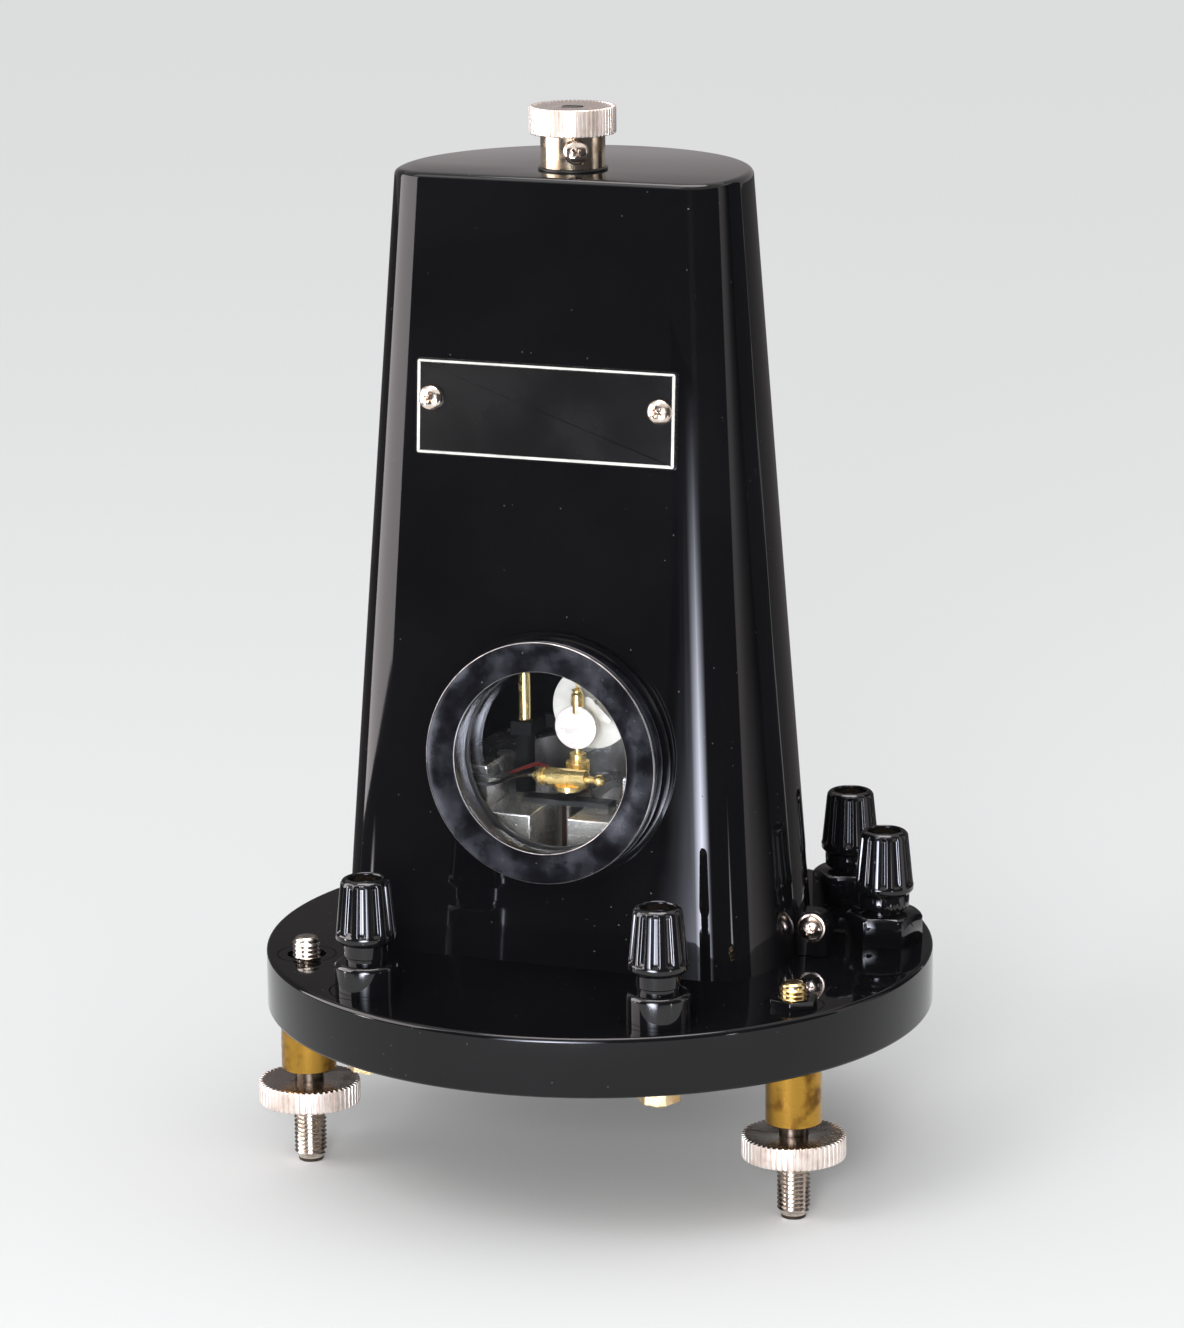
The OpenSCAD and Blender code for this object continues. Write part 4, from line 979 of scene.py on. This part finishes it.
def makeMirror():
    c = cell
    place = onCaseAxis(c["mirrorHeight"]) @ shift(y=-c["mirrorBack"]) @ turn(90, "X")
    disc = softened(block(c["mirrorRadius"] - 0.03, 0, c["mirrorThickness"]), 0.2, 4)
    put(turned("mirror", disc, place=place), mirrorPaintedReflection, "suspension", "mirror")
    backing = turned("backing", softened(block(c["backRadius"], -c["backThickness"], 0), 0.15), 64, place)
    foot, r, top = c["mirrorHeight"] + 4, c["hookRadius"], c["hookTop"]
    hook = [(0, foot), (r, foot), (r, top - 1.4), (r - 0.5, top - 0.9), (r - 0.5, top - 0.5), (r - 0.1, top),
            (0.7, top), (0.7, top - 1.4), (0, top - 1.4)]
    hook = turned("hook", softened(hook, 0.2), 48, onCaseAxis())
    foot, height, r = c["ringFoot"], c["ringHeight"], c["ringRadius"]
    neck = block(c["neckRadius"], foot + height - 0.2, foot + height + c["neckHeight"])
    collar = turned("collar", softened(neck, 0.3), 48, onCaseAxis())
    stem = turned("stem", block(*c["stem"]), 32, onCaseAxis())
    band = addPoints(softened(block(r - 0.05, 0, height), 0.35), 0.8)
    ring = turned("ring", band, segments=c["ringRibs"] * 10)
    runTree(ring, ribTree, metals["brightBrass"], Grooves=c["ringRibs"], Depth=0.22 * mm, Share=0.45,
            Softness=0.8, Low=0.1 * mm, High=(height - 0.1) * mm, Fade=0.2 * mm, Inside=(r - 0.5) * mm)
    ring.data.transform(onCaseAxis(foot))
    o = joinAs("mirrorCell", [backing, hook, collar, stem, ring])
    put(o, metals["brightBrass"], "suspension", "mirror_cell")


coil = {"width": 9.2, "height": 33.0, "foot": 9.5, "thickness": 2.6, "corner": 3.0, "wire": 0.115,
        "layers": (0.13, 0.33, 0.53, 0.73, 0.93, 1.13, 1.27), "turns": 12}


# the outer and inner layers are full, and the hidden ones have only their end turns
def makeWinding():
    w, h, t, layers = (coil[k] for k in ("width", "height", "thickness", "layers"))
    made = []
    for inset in layers:
        name = "layer%d" % len(made)
        turns = coil["turns"] if inset in (layers[0], layers[-1]) else 2
        o = linkMesh(name, bpy.data.meshes.new(name))
        made.append(runTree(o, windingTree, windingPaintedShade, Width=(w - 2 * inset) * mm,
                            Height=(h - 2 * inset) * mm, Corner=(coil["corner"] - inset) * mm, Turns=turns,
                            Depth=(t - 0.3) * mm, Wire=coil["wire"] * mm))
    o = joinAs("coilWinding", made)
    o.data.transform(onCaseAxis(coil["foot"] + h / 2))
    put(o, windingPaintedShade, "suspension", "coil_winding")


wireShare = 0.98      # drawn this much of its size, so that it stays inside the CAD wire


def pathMesh(name, points):
    mesh = bpy.data.meshes.new(name)
    mesh.from_pydata([Vector(p) * mm for p in points], [(k, k + 1) for k in range(len(points) - 1)], [])
    return linkMesh(name, mesh)


spring = {"foot": 2.35, "rise": 6.45, "turns": 5, "radius": 2.0, "wire": 0.25, "pointsPerTurn": 24,
          "sides": 10}


def makeSpring():
    around, r = spring["pointsPerTurn"], spring["radius"]
    steps = spring["turns"] * around
    angles = [2 * math.pi * k / around for k in range(steps + 1)]
    o = pathMesh("lowerSpring", [(r * math.cos(a), r * math.sin(a), spring["foot"] + spring["rise"] * k / steps)
                                 for k, a in enumerate(angles)])
    runTree(o, wireTree, metals["brass"], Radius=spring["wire"] * mm * wireShare, Sides=spring["sides"],
            Points=steps + 1)
    o.data.transform(onCaseAxis())
    finishMesh(o.data, 60)
    put(o, None, "suspension", "lower_spring")


leads = {
    "radius": 0.55, "sides": 14, "points": 90, "redFrom": -21.5,
    "black": [(-48, -21, 58), (-48, -21, 75), (-47, -21, 95), (-42, -21, 107), (-34, -18.5, 109.3),
              (-27, -17, 108.4), (-22.5, -9, 108.6), (-20.6, -4, 108.4), (-18.9, -3, 108.4)],
    "red": [(-51, -18, 58), (-51, -18, 76), (-50, -18, 98), (-45, -19, 110), (-36, -17, 111.6),
            (-27, -16.5, 110.6), (-22, -12, 111), (-19.5, -6, 111.3), (-17.4, -1.8, 111.4),
            (-13.6, 0.3, 109.6)],
}


# the red lead's lower part is in a black sleeve too
def makeLeads():
    made = []
    for colour in ("black", "red"):
        o = pathMesh(colour + "Lead", leads[colour])
        runTree(o, wireTree, blackSleeve, Radius=leads["radius"] * mm * wireShare, Sides=leads["sides"],
                Points=leads["points"])
        finishMesh(o.data, 60)
        setMaterials(o.data, blackSleeve, redSleeve)
        made.append(o)
    for f in made[1].data.polygons:
        f.material_index = 1 if f.center.x > leads["redFrom"] * mm else 0
    both = joinAs("innerLeads", made)
    addMaterials(both.data, blackSleeve, redSleeve)
    put(both, None, "stand", "inner_leads")


makeMirror()
makeWinding()
makeSpring()
makeLeads()
print("suspension and leads made")


studio = {
    "floorColour": (0.86, 0.865, 0.87, 1), "floorHalf": 6, "ambient": 0.82,
    "tints": {"cool": (0.82, 0.85, 1.0, 1), "warm": (1.0, 0.93, 0.94, 1)},
    "lamps": [
        # name, place, aim, size, power
        ("keyAbove", (-0.6, -0.9, 1.5), (0, 0, 0.15), 0.8, 5.0),
        ("besideCamera", (0.30, -1.25, 0.42), (0, 0, 0.14), 0.3, 8.0),
    ],
    "cards": [
        # name, distance, from and to round the object, foot, top, brightness, tint, share that fades
        # at either side, or with a minus at the far one; a sloping foot or top has two heights
        ("leftWindow", 0.37, -86, -35, (0.045, 0.118), 0.42, 6.4, "warm", 0),
        ("flagLeft", 0.37, -86, -35, 0.0, (0.045, 0.118), 0.08, "cool", 0),
        ("lowStrip", 0.36, -60, -50, 0.0, 0.06, 30.0, "warm", 0.4),
        ("flagFront", 0.37, -35, 97, 0.0, 0.42, 0.08, "cool", 0),
        ("windowStrip", 0.36, -13, 24, 0.0, 0.24, 46.0, "cool", 0.45),
        ("rightStrip", 0.36, 57, 62, 0.0, 0.09, 16.0, "warm", 0.4),
        ("rightPanel", 0.37, 97, 130, 0.0, 0.42, 1.3, "warm", -1.0),
        ("flagRight", 0.37, 130, 147, 0.0, 0.42, 0.05, "cool", 0),
        ("flagBack", 0.33, 147, 274, 0.0, 0.26, 0.12, "warm", 0),
        ("panelBack", 0.40, 147, 274, 0.20, 0.55, 0.46, "warm", 0),
    ],
    "ceiling": {"radius": 0.55, "height": 1.5, "level": 9.0, "tint": "warm"},
}


def cardFrom(name, mesh, level, tint, soft=0):
    card = linkMesh(name, mesh)
    m, tree, shader, at = newMaterial(name, Roughness=1.0, Specular_IOR_Level=0.0, Emission_Strength=level,
                                      Base_Color=(0, 0, 0, 1), Emission_Color=studio["tints"][tint])
    if soft:
        across = addNode(tree, "ShaderNodeAttribute", attribute_name="fromSide")
        fade = smoothRange(tree, across.outputs["Fac"], 0.0, abs(soft))
        feed(tree, shader["Emission Strength"], mathNode(tree, "MULTIPLY", fade, level))
    setMaterials(card.data, m)
    card.visible_camera = card.visible_diffuse = card.visible_shadow = False


# curved card round the object that shows only in reflections, azimuth 0 in front of the window
def makeCard(name, distance, first, last, foot, top, level, tint, soft):
    steps = 24
    edges = [h if isinstance(h, tuple) else (h, h) for h in (foot, top)]
    b = bmesh.new()
    columns = []
    for k in range(steps + 1):
        a = math.radians(first + (last - first) * k / steps)
        columns.append([b.verts.new((distance * math.sin(a), -distance * math.cos(a),
                                     low + (high - low) * k / steps)) for low, high in edges])
    for (p, q), (r, t) in zip(columns, columns[1:]):
        b.faces.new((p, q, t, r))
    mesh = meshFrom(b, name)
    if soft:
        side = mesh.attributes.new("fromSide", "FLOAT", "POINT")
        for k in range(steps + 1):
            share = (steps - k) / steps
            if soft > 0:
                side.data[2 * k].value = min(share, 1 - share)
            else:
                side.data[2 * k].value = side.data[2 * k + 1].value = share
    cardFrom(name, mesh, level, tint, soft)


def makeCeiling(radius, height, level, tint):
    b = bmesh.new()
    bmesh.ops.create_circle(b, cap_ends=True, segments=32, radius=radius,
                            matrix=Matrix.Translation((0, 0, height)))
    cardFrom("ceilingCard", meshFrom(b, "ceilingCard"), level, tint)


def makeFloor(colour, half):
    b = bmesh.new()
    bmesh.ops.create_grid(b, x_segments=1, y_segments=1, size=half)
    floor = linkMesh("floor", meshFrom(b, "floor"))
    setMaterials(floor.data, newMaterial("paleFloor", Roughness=0.9, Specular_IOR_Level=0.0,
                                         Base_Color=colour)[0])


def makeLamp(name, place, aim, size, power):
    data = bpy.data.lights.new(name, "AREA")
    data.shape, data.size, data.size_y, data.energy = "RECTANGLE", size, size, power
    lamp = bpy.data.objects.new(name, data)
    lamp.location = place
    lamp.rotation_euler = (Vector(aim) - Vector(place)).to_track_quat("-Z", "Y").to_euler()
    bpy.context.scene.collection.objects.link(lamp)


# a plain white surround for the camera, glass and gloss, and a softer one for the light it gives
def makeWorld(ambient):
    world = bpy.data.worlds.new("studio")
    world.use_nodes = True
    bpy.context.scene.world = world
    tree = world.node_tree
    sky = tree.nodes["Background"].inputs
    sky["Color"].default_value = (1, 1, 1, 1)
    path = tree.nodes.new("ShaderNodeLightPath").outputs
    seen = mathNode(tree, "MAXIMUM", path["Is Camera Ray"],
                    mathNode(tree, "MAXIMUM", path["Is Glossy Ray"], path["Is Transmission Ray"]))
    feed(tree, sky["Strength"], mapTo(tree, seen, ambient, 1.0))


makeFloor(studio["floorColour"], studio["floorHalf"])
for row in studio["cards"]:
    makeCard(*row)
makeCeiling(**studio["ceiling"])
for row in studio["lamps"]:
    makeLamp(*row)
makeWorld(studio["ambient"])
bpy.context.scene.view_settings.view_transform = "Standard"
print("studio lit")
